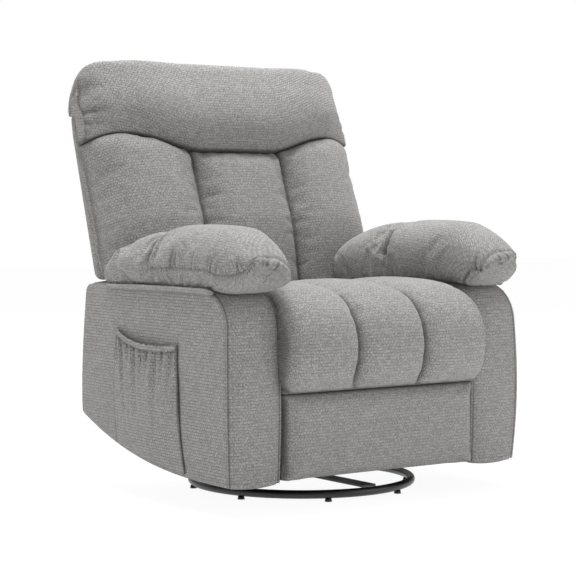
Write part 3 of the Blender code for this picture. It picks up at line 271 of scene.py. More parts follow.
def chenille_group():
    """Rows of soft tufts on the cloth's own map, as a tone about 1 and a height."""
    tree, given, out = shader_group(
        "chenille rows",
        [("Rows per metre", 208.0), ("Tuft share", 0.30), ("Speckle", 0.5), ("Waver", 0.30)],
        ["Tone", "Height"])
    given = given.outputs
    place = add_node(tree, "ShaderNodeUVMap", uv_map="cloth").outputs[0]
    scaled = vector_maths(tree, "SCALE", place, given["Rows per metre"])
    drift = vector_maths(tree, "SUBTRACT", noise(tree, scaled, 0.55, 2.0).outputs["Color"], (0.5, 0.5, 0.5))
    bent = vector_maths(tree, "ADD", scaled, vector_maths(tree, "SCALE", drift, given["Waver"]))
    tufts = add_node(
        tree, "ShaderNodeTexBrick",
        [("Vector", bent), ("Color1", (0.0, 0.0, 0.0, 1.0)), ("Color2", (1.0, 1.0, 1.0, 1.0)),
         ("Mortar", (0.12, 0.12, 0.12, 1.0)), ("Scale", 1.0), ("Mortar Size", 0.1), ("Mortar Smooth", 1.0),
         ("Bias", 0.0), ("Brick Width", 1.2), ("Row Height", 1.0)],
        offset=0.5, offset_frequency=2, squash=1.0)
    between_rows = tufts.outputs["Fac"]
    fuzz = noise(tree, scaled, 1.9, 3.0).outputs["Fac"]
    patches = noise(tree, scaled, 0.045, 3.0).outputs["Fac"]
    grain = maths(tree, "SUBTRACT", tufts.outputs["Color"], 0.5)
    grain = maths(tree, "MULTIPLY", grain, given["Tuft share"])
    fluff = maths(tree, "MULTIPLY", maths(tree, "SUBTRACT", fuzz, 0.5), 2.1)
    mixed = maths(tree, "MULTIPLY", maths(tree, "ADD", grain, fluff), given["Speckle"])
    shade = maths(tree, "MULTIPLY", maths(tree, "SUBTRACT", patches, 0.5), 0.16)
    furrow = maths(tree, "MULTIPLY", between_rows, -0.52)
    tone = maths(tree, "ADD", maths(tree, "ADD", 1.15, mixed), maths(tree, "ADD", shade, furrow))
    height = maths(tree, "MULTIPLY", maths(tree, "SUBTRACT", 1.0, between_rows), 0.7)
    height = maths(tree, "ADD", height, maths(tree, "MULTIPLY", fuzz, 0.5))
    tree.links.new(tone, out.inputs["Tone"])
    tree.links.new(height, out.inputs["Height"])
    return tree


def grain_group():
    """Fine grain of a coated or moulded surface, as a tone about 1, a roughness change and a height."""
    tree, given, out = shader_group(
        "surface grain", [("Grain", 900.0), ("Cloudiness", 0.1)], ["Tone", "Roughness", "Height"])
    place = add_node(tree, "ShaderNodeTexCoord").outputs["Object"]
    fine = noise(tree, place, given.outputs["Grain"], 2.0)
    swing = maths(tree, "SUBTRACT", noise(tree, place, 14.0, 4.0).outputs["Fac"], 0.5)
    swing = maths(tree, "MULTIPLY", swing, given.outputs["Cloudiness"])
    tree.links.new(maths(tree, "ADD", 1.0, maths(tree, "MULTIPLY", swing, 2.0)), out.inputs["Tone"])
    tree.links.new(swing, out.inputs["Roughness"])
    tree.links.new(fine.outputs["Fac"], out.inputs["Height"])
    return tree


def new_material(name):
    """Material with only a Principled shader, and its tree and shader."""
    material = bpy.data.materials.new(name)
    material.use_nodes = True
    tree = material.node_tree
    tree.nodes.clear()
    shader = tree.nodes.new("ShaderNodeBsdfPrincipled")
    tree.links.new(shader.outputs[0], add_node(tree, "ShaderNodeOutputMaterial").inputs["Surface"])
    return material, tree, shader


def painted(tree, shader, colour, tone):
    """Give a shader a colour times a tone."""
    tree.links.new(vector_maths(tree, "SCALE", colour, tone), shader.inputs["Base Color"])


def cloth_material(name, colour, rib, speckle):
    """Chenille: rows of tufts, darkened by painted shade along seams, creases and gaps, with a soft bloom at
    grazing angles.
    """
    material, tree, shader = new_material(name)
    group = add_node(tree, "ShaderNodeGroup", node_tree=GROUPS["chenille"])
    set_values(group, {"Rows per metre": 1.0 / rib, "Speckle": speckle})
    # The drawn_in attribute holds painted shade for seams, creases and gaps; it dims the colour by up to 62
    # percent.
    seam = add_node(tree, "ShaderNodeAttribute", attribute_name="drawn_in").outputs["Fac"]
    dim = maths(tree, "SUBTRACT", 1.0, maths(tree, "MULTIPLY", seam, 0.62))
    painted(tree, shader, colour, maths(tree, "MULTIPLY", group.outputs["Tone"], dim))
    embossed(tree, shader, group.outputs["Height"], 0.8, 0.0016)
    set_values(shader, {
        "Roughness": 0.92, "Specular IOR Level": 0.2, "Sheen Weight": 0.22, "Sheen Roughness": 0.45})
    return material


def grained_material(name, colour, roughness, metallic, grain, cloudiness, relief, coat):
    """Paint, plating, thread or moulded plastic with a fine grain."""
    material, tree, shader = new_material(name)
    group = add_node(tree, "ShaderNodeGroup", node_tree=GROUPS["grain"])
    set_values(group, {"Grain": grain, "Cloudiness": cloudiness})
    painted(tree, shader, colour, group.outputs["Tone"])
    tree.links.new(maths(tree, "ADD", roughness, group.outputs["Roughness"]), shader.inputs["Roughness"])
    embossed(tree, shader, group.outputs["Height"], relief, 0.0003)
    set_values(shader, {"Metallic": metallic, "Coat Weight": coat, "Coat Roughness": 0.12})
    return material


def plywood_material():
    """Birch plywood: long grain along the board and thin veneers at its edges."""
    material, tree, shader = new_material("birch plywood")
    place = add_node(tree, "ShaderNodeTexCoord").outputs["Object"]
    stretched = add_node(tree, "ShaderNodeMapping", [("Vector", place), ("Scale", (4.0, 60.0, 60.0))])
    grain = noise(tree, stretched.outputs[0], 2.0, 6.0).outputs["Fac"]
    tone = maths(tree, "ADD", 0.72, maths(tree, "MULTIPLY", grain, 0.56))
    painted(tree, shader, (0.52, 0.38, 0.24), tone)
    embossed(tree, shader, grain, 0.3, 0.0004)
    set_values(shader, {"Roughness": 0.7})
    return material


def webbing_material():
    """Woven strap: diagonal ridges in dark yarn."""
    material, tree, shader = new_material("strap webbing")
    place = add_node(tree, "ShaderNodeTexCoord").outputs["Object"]
    turned = add_node(tree, "ShaderNodeMapping", [("Vector", place), ("Rotation", (0.8, 0.0, 0.0))])
    ridges = add_node(
        tree, "ShaderNodeTexWave", [("Vector", turned.outputs[0]), ("Scale", 130.0), ("Distortion", 0.4)],
        bands_direction="Y").outputs["Fac"]
    tone = maths(tree, "ADD", 0.6, maths(tree, "MULTIPLY", ridges, 0.8))
    painted(tree, shader, (0.05, 0.05, 0.052), tone)
    embossed(tree, shader, ridges, 0.6, 0.0006)
    set_values(shader, {"Roughness": 0.85})
    return material


GROUPS = {}
FINISHES = {}

# Name, colour, roughness, metallic, grain, cloudiness, relief and coat of each grained slot
GRAINED = {
    "black_steel": ("black powder coat", (0.008, 0.008, 0.0085), 0.42, 0.0, 1400.0, 0.12, 0.12, 0.2),
    "zinc_plate": ("zinc plating", (0.56, 0.56, 0.55), 0.34, 1.0, 500.0, 0.3, 0.1, 0.0),
    "black_plastic": ("moulded black plastic", (0.014, 0.014, 0.014), 0.5, 0.0, 1800.0, 0.15, 0.25, 0.0),
    "white_nylon": ("natural nylon", (0.70, 0.69, 0.64), 0.45, 0.0, 1200.0, 0.1, 0.1, 0.0),
}


def make_finishes():
    """All the chair's materials."""
    cloth = settings("fabric")
    GROUPS["chenille"] = chenille_group()
    GROUPS["grain"] = grain_group()
    FINISHES["grey_weave"] = cloth_material("grey chenille", tuple(cloth.colour), cloth.rib, 0.90)
    FINISHES["thread"] = grained_material(
        "sewing thread", tuple(cloth.thread), 0.7, 0.0, 2500.0, 0.1, 0.3, 0.0)
    for slot, looks in GRAINED.items():
        FINISHES[slot] = grained_material(*looks)
    FINISHES["plywood"] = plywood_material()
    FINISHES["dark_webbing"] = webbing_material()


# Shapes

def bezier(p0, p1, p2, p3, steps):
    """Points of a cubic curve after its first, as an array."""
    t = np.arange(1, steps + 1)[:, None] / steps
    p0, p1, p2, p3 = (np.array(p, float) for p in (p0, p1, p2, p3))
    s = 1.0 - t
    return s ** 3 * p0 + 3 * s ** 2 * t * p1 + 3 * s * t ** 2 * p2 + t ** 3 * p3


def arc(centre, radius, start, end, steps):
    """Points of an arc, angles in degrees."""
    turns = np.radians(np.linspace(start, end, steps + 1))
    return np.stack([centre[0] + radius * np.cos(turns), centre[1] + radius * np.sin(turns)], 1)


def travelled(points, axis=0):
    """Distance along lines of points from their first."""
    steps = np.linalg.norm(np.diff(points, axis=axis), axis=-1)
    return np.concatenate([np.zeros_like(np.take(steps, [0], axis)), np.cumsum(steps, axis)], axis)


def resampled(points, spacing, closed=True):
    """Polyline with evenly spaced points."""
    points = np.array(points, float)
    if closed:
        points = np.vstack([points, points[:1]])
    length = travelled(points)
    count = max(int(round(length[-1] / spacing)), 3)
    places = np.linspace(0.0, length[-1], count + 1)
    if closed:
        places = places[:-1]
    return np.stack([np.interp(places, length, points[:, k]) for k in range(points.shape[1])], 1)


def square_to(tangent):
    """Directions square to tangents, of unit length."""
    tangent = tangent / np.linalg.norm(tangent, axis=1, keepdims=True)
    return np.stack([tangent[:, 1], -tangent[:, 0]], 1)


def outward_of(outline):
    """Directions out of a closed outline, square to it."""
    return square_to(np.roll(outline, -1, 0) - np.roll(outline, 1, 0))


def inset(outline, distance):
    """Outline drawn in by a distance, square to itself."""
    return outline - outward_of(outline) * distance


def eased(steps, share=1.0):
    """Shares from 0 to 1 that crowd towards both ends."""
    even = np.linspace(0.0, 1.0, steps + 1)
    return (1.0 - share) * even + share * (0.5 - 0.5 * np.cos(math.pi * even))


def unit(values):
    """Values kept between 0 and 1."""
    return np.clip(values, 0.0, 1.0)


def bell(gap, width):
    """Falls from 1 at no gap towards 0 past a width."""
    return np.exp(-(gap / width) ** 2)


def chest(share, power=2.4):
    """Crown of a channel: 0 at its seams and 1 in its middle."""
    return 1.0 - np.abs(2.0 * share - 1.0) ** power


def ripple(along, pitch, seed):
    """Uneven waves along a seam, between -1 and 1."""
    wander = 1.4 * np.sin(along * 31.0 + seed) + 0.9 * np.sin(along * 71.0 + 2.3 * seed)
    strength = 0.55 + 0.45 * np.sin(along * 23.0 + 1.7 * seed)
    return strength * np.sin(2.0 * math.pi * along / pitch + wander)


def back_place(points):
    """Chair coordinates of (x, v, w) places on the back."""
    lean = settings("form").back_lean
    x, v, w = points[..., 0], points[..., 1], points[..., 2]
    y = HINGE_Y + v * math.sin(lean) - w * math.cos(lean)
    z = HINGE_Z + v * math.cos(lean) + w * math.sin(lean)
    return np.stack([x, y, z], -1)


def linked(name, data):
    """Object for a mesh or curve, in the scene."""
    data.name = name
    piece = bpy.data.objects.new(name, data)
    bpy.context.scene.collection.objects.link(piece)
    return piece


def smoothed(mesh):
    """Shade all of a mesh smoothly."""
    mesh.polygons.foreach_set("use_smooth", np.ones(len(mesh.polygons), bool))


def meshed(name, points, faces, maps):
    """Closed cloth piece from points, faces and a map for each corner."""
    mesh = bpy.data.meshes.new(name)
    mesh.from_pydata((points + TO_FRAME).tolist(), [], faces)
    layer = mesh.uv_layers.new(name="cloth")
    layer.data.foreach_set("uv", np.array(maps, np.float32).ravel())
    bm = bmesh.new()
    bm.from_mesh(mesh)
    bmesh.ops.recalc_face_normals(bm, faces=bm.faces)
    if bm.calc_volume(signed=True) < 0.0:
        bmesh.ops.reverse_faces(bm, faces=bm.faces)
    bm.to_mesh(mesh)
    bm.free()
    mesh.materials.append(FINISHES["grey_weave"])
    smoothed(mesh)
    return linked(name, mesh)


def loft(name, rings, flat_strips=(), level=0, flat_axes=(1, 2), straight=False):
    """Closed piece through rings of points, with a cloth map in metres that starts at one column.

    Flat strips and the two ends are mapped straight on, along two axes. Straight rows keep the same
    place on every ring.
    """
    rings = np.array(rings, float)
    count, around = rings.shape[:2]
    wrapped = np.concatenate([rings, rings[:, :1]], 1)
    run = travelled(wrapped, 1)
    run = run - run[:, level: level + 1]
    if straight:
        run = np.tile(np.median(run, axis=0), (count, 1))
    gaps = np.linalg.norm(np.diff(rings, axis=0), axis=2)
    cross = np.concatenate([[0.0], np.cumsum(np.median(gaps, axis=1))])
    faces, maps = [], []
    for r in range(count - 1):
        for c in range(around):
            d = (c + 1) % around
            faces.append((r * around + c, r * around + d, (r + 1) * around + d, (r + 1) * around + c))
            corners = ((r, c), (r, c + 1), (r + 1, c + 1), (r + 1, c))
            if r in flat_strips:
                maps += [wrapped[i, j, list(flat_axes)] for i, j in corners]
            else:
                maps += [(cross[i], run[i, j]) for i, j in corners]
    for r, turned in ((0, -1), (count - 1, 1)):
        for c in range((around - 1) // 2):
            rung = [c, c + 1, around - 2 - c, around - 1 - c]
            rung = rung[:2] + rung[3:] if rung[1] == rung[2] else rung
            faces.append(tuple(r * around + k for k in rung[::turned]))
            maps += [rings[r, k, list(flat_axes)] for k in rung[::turned]]
    return meshed(name, rings.reshape(-1, 3), faces, maps)


def layered(name, grids, axes):
    """Thin closed cloth between two grids of points, mapped straight on along two axes."""
    rows, columns = (count - 1 for count in grids[0].shape[:2])
    faces, maps = [], []

    def add_face(*corners):
        faces.append(tuple((layer * (rows + 1) + r) * (columns + 1) + c for layer, r, c in corners))
        maps.extend(grids[0][r, c, axes] for _, r, c in corners)

    for layer in (0, 1):
        for r in range(rows):
            for c in range(columns):
                add_face((layer, r, c), (layer, r, c + 1), (layer, r + 1, c + 1), (layer, r + 1, c))
    edge = [(0, c) for c in range(columns)] + [(r, columns) for r in range(rows)]
    edge += [(rows, c) for c in range(columns, 0, -1)] + [(r, 0) for r in range(rows, 0, -1)]
    for here, there in zip(edge, edge[1:] + edge[:1]):
        add_face((0, *here), (0, *there), (1, *there), (1, *here))
    return meshed(name, np.concatenate([grid.reshape(-1, 3) for grid in grids]), faces, maps)


def points_of(piece):
    """Vertex places of a piece."""
    places = np.zeros(len(piece.data.vertices) * 3, np.float32)
    piece.data.vertices.foreach_get("co", places)
    return places.reshape(-1, 3).astype(float)


def set_points(piece, places):
    """Move a piece's vertices."""
    piece.data.vertices.foreach_set("co", places.astype(np.float32).ravel())
    piece.data.update()


def normals_of(piece):
    """Vertex normals of a piece."""
    directions = np.zeros(len(piece.data.vertices) * 3, np.float32)
    piece.data.vertex_normals.foreach_get("vector", directions)
    return directions.reshape(-1, 3).astype(float)


def raised(piece, amounts):
    """Move vertices along their normals."""
    set_points(piece, points_of(piece) + normals_of(piece) * np.array(amounts).reshape(-1, 1))


def stuffed(piece, held, cap, slack=0.0):
    """Swell a piece as cloth under pressure: held vertices stay, and none moves further than the cap."""
    form = settings("form")
    group = piece.vertex_groups.new(name="held")
    held = np.array(held).ravel()
    for level in np.unique(np.round(held[held > 0.02], 2)):
        chosen = np.nonzero(np.round(held, 2) == level)[0].tolist()
        group.add(chosen, float(level), "REPLACE")
    cloth = piece.modifiers.new("stuffing", "CLOTH")
    rules = cloth.settings
    rules.quality = 5
    rules.mass = 0.3
    rules.tension_stiffness = rules.compression_stiffness = 15.0
    rules.shear_stiffness = 5.0
    rules.bending_stiffness = 0.4
    rules.use_pressure = True
    rules.uniform_pressure_force = form.stuffing
    rules.vertex_group_mass = "held"
    rules.pin_stiffness = 1.0
    rules.shrink_min = -slack
    rules.effector_weights.gravity = 0.0
    cloth.collision_settings.use_self_collision = False
    cloth.collision_settings.use_collision = False
    cloth.point_cache.frame_start = 1
    cloth.point_cache.frame_end = form.settle_frames
    scene = bpy.context.scene
    start = points_of(piece)
    for number in range(1, form.settle_frames + 1):
        scene.frame_set(number)
    settled = piece.evaluated_get(bpy.context.evaluated_depsgraph_get()).to_mesh()
    places = np.zeros(len(settled.vertices) * 3, np.float32)
    settled.vertices.foreach_get("co", places)
    piece.evaluated_get(bpy.context.evaluated_depsgraph_get()).to_mesh_clear()
    piece.modifiers.remove(cloth)
    piece.vertex_groups.remove(group)
    scene.frame_set(1)
    moved = places.reshape(-1, 3) - start
    far = np.linalg.norm(moved, axis=1, keepdims=True)
    limited = cap * np.tanh(far / cap)
    set_points(piece, start + moved * limited / np.maximum(far, 1e-9))


def store_painted_shade(piece, amounts):
    """Store painted shade for seams, creases and gaps, which darkens the cloth's colour in its material."""
    layer = piece.data.attributes.new("drawn_in", "FLOAT", "POINT")
    layer.data.foreach_set("value", unit(np.array(amounts)).astype(np.float32).ravel())


def baked(piece):
    """New mesh of an object with its modifiers."""
    depsgraph = bpy.context.evaluated_depsgraph_get()
    return bpy.data.meshes.new_from_object(piece.evaluated_get(depsgraph), depsgraph=depsgraph)


def rounded(piece):
    """Subdivide a piece smoothly, as its own mesh."""
    modifier = piece.modifiers.new("round", "SUBSURF")
    modifier.levels = modifier.render_levels = 1
    old, piece.data = piece.data, baked(piece)
    piece.modifiers.clear()
    bpy.data.meshes.remove(old)
    piece.data.name = piece.name


def flipped(mesh):
    """Turn a mesh over to the other side of the chair."""
    mesh.transform(Matrix.Scale(-1.0, 4, (1.0, 0.0, 0.0)))
    mesh.flip_normals()
    return mesh


def placed(piece, body, slot, *nodes):
    """Ride a finished piece on its body, in place of its solids."""
    if nodes:
        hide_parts(*nodes)
    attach(piece, body)


def repeat_tree(name, source, sizes, finish, result):
    """Empty geometry nodes with their sockets, the inputs and the end node."""
    tree = bpy.data.node_groups.new(name, "GeometryNodeTree")
    sockets = [(source, "INPUT", "Geometry"), *((size, "INPUT", "Float") for size in sizes)]
    sockets += [(finish, "INPUT", "Material"), (result, "OUTPUT", "Geometry")]
    for label, direction, kind in sockets:
        tree.interface.new_socket(label, in_out=direction, socket_type="NodeSocket" + kind)
    return tree, tree.nodes.new("NodeGroupInput").outputs, tree.nodes.new("NodeGroupOutput")


def repeated(tree, out, finish, links):
    """Copies of an instance on points, made real and given a finish."""
    copies = add_node(tree, "GeometryNodeInstanceOnPoints", links)
    real = add_node(tree, "GeometryNodeRealizeInstances", [("Geometry", copies.outputs[0])])
    dressed = add_node(tree, "GeometryNodeSetMaterial", [("Geometry", real.outputs[0]), ("Material", finish)])
    tree.links.new(dressed.outputs[0], out.inputs[0])
    return tree


def grown(name, guide_data, tree, values):
    """Plain mesh piece that a node tree makes from a guide; the guide goes."""
    guide = linked(name + "_guide", guide_data)
    modifier = guide.modifiers.new("grown", "NODES")
    modifier.node_group = tree
    for item in tree.interface.items_tree:
        if item.in_out == "INPUT" and item.name in values:
            modifier[item.identifier] = values[item.name]
    mesh = baked(guide)
    if not mesh.polygons:
        raise RuntimeError(f"{name}: its node tree made nothing")
    smoothed(mesh)
    bpy.data.objects.remove(guide)
    is_curve = isinstance(guide_data, bpy.types.Curve)
    (bpy.data.curves if is_curve else bpy.data.meshes).remove(guide_data)
    return linked(name, mesh)


def points_mesh(points):
    """Mesh of loose points, for a guide."""
    mesh = bpy.data.meshes.new("points")
    mesh.from_pydata(points, [], [])
    return mesh


def stitch_tree():
    """Geometry nodes: short threads in line along curves."""
    tree, given, out = repeat_tree(
        "thread along seams", "Seams", ("Pitch", "Length", "Width"), "Thread", "Stitches")
    even = add_node(
        tree, "GeometryNodeResampleCurve", [("Curve", given["Seams"]), ("Length", given["Pitch"])],
        mode="LENGTH")
    along = add_node(tree, "GeometryNodeInputTangent").outputs[0]
    turn = add_node(tree, "FunctionNodeAlignRotationToVector", [("Vector", along)], axis="Z").outputs[0]
    size = add_node(
        tree, "ShaderNodeCombineXYZ", [("X", given["Width"]), ("Y", given["Width"]), ("Z", given["Length"])])
    bead = add_node(tree, "GeometryNodeMeshUVSphere", [("Segments", 6), ("Rings", 4), ("Radius", 0.5)])
    return repeated(tree, out, given["Thread"], [
        ("Points", even.outputs[0]), ("Instance", bead.outputs["Mesh"]), ("Rotation", turn),
        ("Scale", size.outputs[0])])


def sewn(name, lines, body):
    """Rows of stitches along lines of points, as one piece on a body."""
    cloth = settings("fabric")
    curve = bpy.data.curves.new(name, "CURVE")
    curve.dimensions = "3D"
    for line in lines:
        spline = curve.splines.new("POLY")
        spline.points.add(len(line) - 1)
        places = np.column_stack([line, np.ones(len(line))])
        spline.points.foreach_set("co", places.astype(np.float32).ravel())
    if "stitches" not in GROUPS:
        GROUPS["stitches"] = stitch_tree()
    piece = grown(name, curve, GROUPS["stitches"], {
        "Pitch": cloth.stitch_pitch, "Length": cloth.stitch_length, "Width": cloth.stitch_width,
        "Thread": FINISHES["thread"]})
    placed(piece, body, "grey_weave")


def thread_line(piece, ids, lift=THREAD_LIFT):
    """Places just above some of a piece's vertices, for a row of stitches."""
    return points_of(piece)[ids] + normals_of(piece)[ids] * lift


def creases(gap, along, spots, reach, width):
    """Pulled-in folds that start at a seam at given places along it, between 0 and 1."""
    slant, fanning, fade = 0.22, 0.08, 0.8
    total = np.zeros(gap.shape)
    for number, spot in enumerate(spots):
        wild = math.sin(12.9 * number + 4.1 * reach * 1000.0 + spot * 61.0)
        length = reach * (0.75 + 0.45 * wild)
        across = (along - spot - slant * wild * gap) / (width + fanning * gap)
        fold = np.exp(-across ** 2) * unit(1.0 - gap / length) ** fade * (0.7 + 0.3 * wild)
        total = np.maximum(total, fold)
    return total


def uneven(start, end, pitch, seed):
    """Places from start to end at an uneven pitch."""
    count = max(int((end - start) / pitch), 1)
    steps = np.arange(count)
    return start + (steps + 0.5 + 0.32 * np.sin(steps * 2.4 + seed)) * (end - start) / count


def channel_folds(x, along, seam, spread, reach, width):
    """Puckers beside a pair of channel seams, as a lift."""
    start, end, pitch, seed = spread
    depth, clear = 0.0030, 0.004
    lift = np.zeros(x.shape)
    for number, place in enumerate((-seam, seam)):
        away = np.abs(x - place)
        folds = creases(away, along, uneven(start, end, pitch, seed + number), reach, width)
        lift -= depth * folds * unit(away / clear)
    return lift


def seam_waves(x, away, height, pitch, seed, reach, clear=0.004):
    """Waves that a seam across the chair leaves in the cloth beside it, as a lift."""
    return height * ripple(x, pitch, seed) * np.exp(-away / reach) * unit(away / clear)


# Pieces

def seat_profile():
    """Side view of the seat's top and front roll, from its rear to the seam over the footrest."""
    form = settings("form")
    front, swell = form.seat_front, form.seat_crown + 0.004
    rear = (SEAT_TAIL_Y, form.seat_rear)
    tail = (rear[0] + 0.060, rear[1] - 0.050)
    brow = (front + 0.098, form.seat_crown - 0.003)
    seam = (front + 0.016, SEAM_Z + 0.003)
    return resampled(np.vstack([
        [tail],
        bezier(tail, (tail[0] - 0.008, tail[1] + 0.030), (rear[0] + 0.030, rear[1] - 0.006), rear, 12),
        bezier(rear, (rear[0] - 0.052, swell - 0.002), (brow[0] + 0.120, swell + 0.004), brow, 40),
        bezier(brow, (front, brow[1] - 0.008), (front - 0.050, SEAM_Z + 0.100), seam, 50),
    ]), 0.0065, closed=False)


def make_seat():
    """Three sewn channels that roll over the front."""
    form = settings("form")
    path = seat_profile()
    shown = len(path)
    outward = square_to(np.gradient(path, axis=0))
    run = travelled(path)
    to_seam = run[-1] - run
    rear_fade, seam_fade, board_rise = 0.09, 0.035, 0.0843
    weight = np.sin(unit(np.minimum(run / rear_fade, to_seam / seam_fade)) * math.pi / 2)
    board_z = SEAM_Z + board_rise
    seam_y = path[-1][0]
    under = np.array([
        (seam_y + 0.010, SEAM_Z + 0.001), (seam_y + 0.022, SEAM_Z), (seam_y + 0.035, SEAM_Z),
        (FOOTREST_REAR_Y, SEAM_Z), (FOOTREST_REAR_Y, board_z), (0.0, board_z), (SEAT_REAR_Y, board_z),
        (SEAT_TAIL_Y + 0.035, board_z + 0.006)])
    half = SEAT_HALF + 0.003
    third = 2.0 * half / 3.0
    side_round, groove, groove_width = 0.026, 0.011, 0.008
    spread, spread_from_y, spread_over = 0.052, -0.255, 0.075
    shade, side_shade, side_zone = 0.004, 0.006, 0.05
    widening = 1.0 + spread * unit((spread_from_y - path[:, 0]) / spread_over) * weight
    rings, held, drawn = [], [], []
    for channel in range(3):
        for share in eased(16, 0.85)[: 17 if channel == 2 else 16]:
            x = -half + third * (channel + share)
            seam_gap = min(share, 1.0 - share) * third
            side_gap = half - abs(x)
            crown = form.channel_crown * chest(share, 2.2)
            crown = crown - groove * math.exp(-(seam_gap / groove_width) ** 2)
            if side_gap < side_round:
                crown -= side_round - math.sqrt(side_round ** 2 - (side_round - side_gap) ** 2)
            loop = np.vstack([path + outward * (crown * weight)[:, None], under])
            wide = np.full(len(loop), x)
            wide[:shown] *= widening
            rings.append(np.column_stack([wide, loop]))
            pins = np.full(shown, 1.0 if seam_gap < ON_SEAM else 0.0)
            pins[[0, 1, -1]] = 1.0
            held.append(np.concatenate([pins, np.ones(len(under))]))
            # Painted shade: along the seams between channels, on the sides where the gap beside the arms
            # falls in shadow, and along the seam under the front roll.
            if side_gap > side_zone:
                dark = math.exp(-(seam_gap / shade) ** 2)
            else:
                dark = math.exp(-(side_gap / side_shade) ** 2)
            dark = np.maximum(dark, bell(to_seam, shade))
            drawn.append(np.concatenate([dark, np.zeros(len(under))]))
    rings = np.array(rings)
    piece = loft("seat_cushion_cover", rings, straight=True)
    stuffed(piece, held, 0.009, 0.03)
    x = np.repeat(rings[:, :1, 0], rings.shape[1], 1)
    along, top = np.zeros((2, *rings.shape[:2]))
    along[:, :shown], top[:, :shown] = run, weight
    lift = channel_folds(x, along, third / 2, (0.05, 0.62, 0.019, 3.0), 0.026, 0.0034)
    lift += seam_waves(x, run[-1] - along, 0.0016, 0.021, 8.0, 0.022)
    raised(piece, lift * top)
    store_painted_shade(piece, drawn)
    rounded(piece)
    placed(piece, "chassis", "grey_weave", "seat_cushion")


def make_footrest():
    """Flat stuffed panel that closes the front when stowed."""
    low, high, rear = FOOTREST_LOW_Z, FOOTREST_HIGH_Z, FOOTREST_REAR_Y
    front = FOOTREST_FRONT_Y - 0.006
    half = SEAT_HALF + 0.004
    r, lap, rear_edge, top_rise, end_round = 0.016, 0.012, 0.004, 0.0055, 0.25
    rings, held = [], []
    for share in eased(44, 0.8):
        x = half * (2.0 * share - 1.0)
        gap = min(half - abs(x), r)
        back = r - math.sqrt(max(r ** 2 - (r - gap) ** 2, 0.0))
        face = front + back
        top, foot = high + top_rise - end_round * back, low + end_round * back
        loop = np.vstack([
            [(rear, foot + rear_edge), (rear, (foot + top) / 2), (rear, top - rear_edge), (rear - lap, top)],
            arc((face + r, top - r), r, 90, 180, 7),
            np.column_stack([np.full(18, face), np.linspace(top - r, foot + r, 20)[1:-1]]),
            arc((face + r, foot + r), r, 180, 270, 7),
            [(rear - lap, foot)]])
        rings.append(np.column_stack([np.full(len(loop), x), loop]))
        pins = np.zeros(len(loop))
        pins[[0, 1, 2, 3, -1]] = 1.0
        held.append(pins)
    rings = np.array(rings)
    piece = loft("footrest_panel_cover", rings, straight=True)
    stuffed(piece, held, 0.006)
    x, z = rings[..., 0], rings[..., 2]
    lift = 0.0010 * ripple(x, 0.026, 2.0) * np.exp(-np.abs(high - 0.012 - z) / 0.018)
    raised(piece, lift * (rings[..., 1] < rear - 0.02))
    # Painted shade on the panel's two sides, in the gaps beside the arms.
    store_painted_shade(piece, bell(half - np.abs(x), 0.004))
    rounded(piece)
    placed(piece, "footrest", "grey_weave", "footrest_pad")


def arm_foot(y):
    """Underside of an arm at places along it, and their share of its length."""
    share = unit((y - ARM_FRONT_Y) / (ARM_REAR_Y - ARM_FRONT_Y))
    return ARM_FOOT_Z + (ARM_HEEL_Z - ARM_FOOT_Z) * share ** 2.7, share


def arm_outline():
    """Side view of an arm, closed."""
    brow_r, heel_r = 0.090, 0.020
    front, rear, brow_z = ARM_FRONT_Y, ARM_REAR_Y, ARM_TOP_Z - brow_r
    y = np.linspace(front, rear - 0.004, 60)
    z = np.linspace(brow_z, ARM_FOOT_Z, 30)[1:-1]
    bow = 0.006 * np.sin(math.pi * (z - ARM_FOOT_Z) / (brow_z - ARM_FOOT_Z))
    return resampled(np.vstack([
        np.column_stack([y, arm_foot(y)[0]]),
        [(rear - 0.001, 0.180), (rear - 0.0015, 0.224)],
        arc((rear - 0.030, ARM_TOP_Z - heel_r), heel_r, 0, 90, 6),
        arc((front + brow_r, brow_z), brow_r, 90, 180, 16),
        np.column_stack([front - bow, z]),
    ]), 0.008)


def arm_swell(y, z):
    """Swell of an arm's outer panel: none at its borders, most in its middle."""
    foot, along = arm_foot(y)
    up = unit((z - foot) / (ARM_TOP_Z - foot))
    return settings("form").arm_bulge * chest(along) * chest(up)


def barrel(x, z):
    """Outward lean of an arm's outer half between its foot and its top."""
    rise = unit((z - ARM_FOOT_Z) / (ARM_TOP_Z - ARM_FOOT_Z))
    half = unit((x - ARM_INNER_X) / (ARM_OUTER_X - ARM_INNER_X))
    return 0.0095 * np.sin(math.pi * rise ** 0.9) * half ** 2


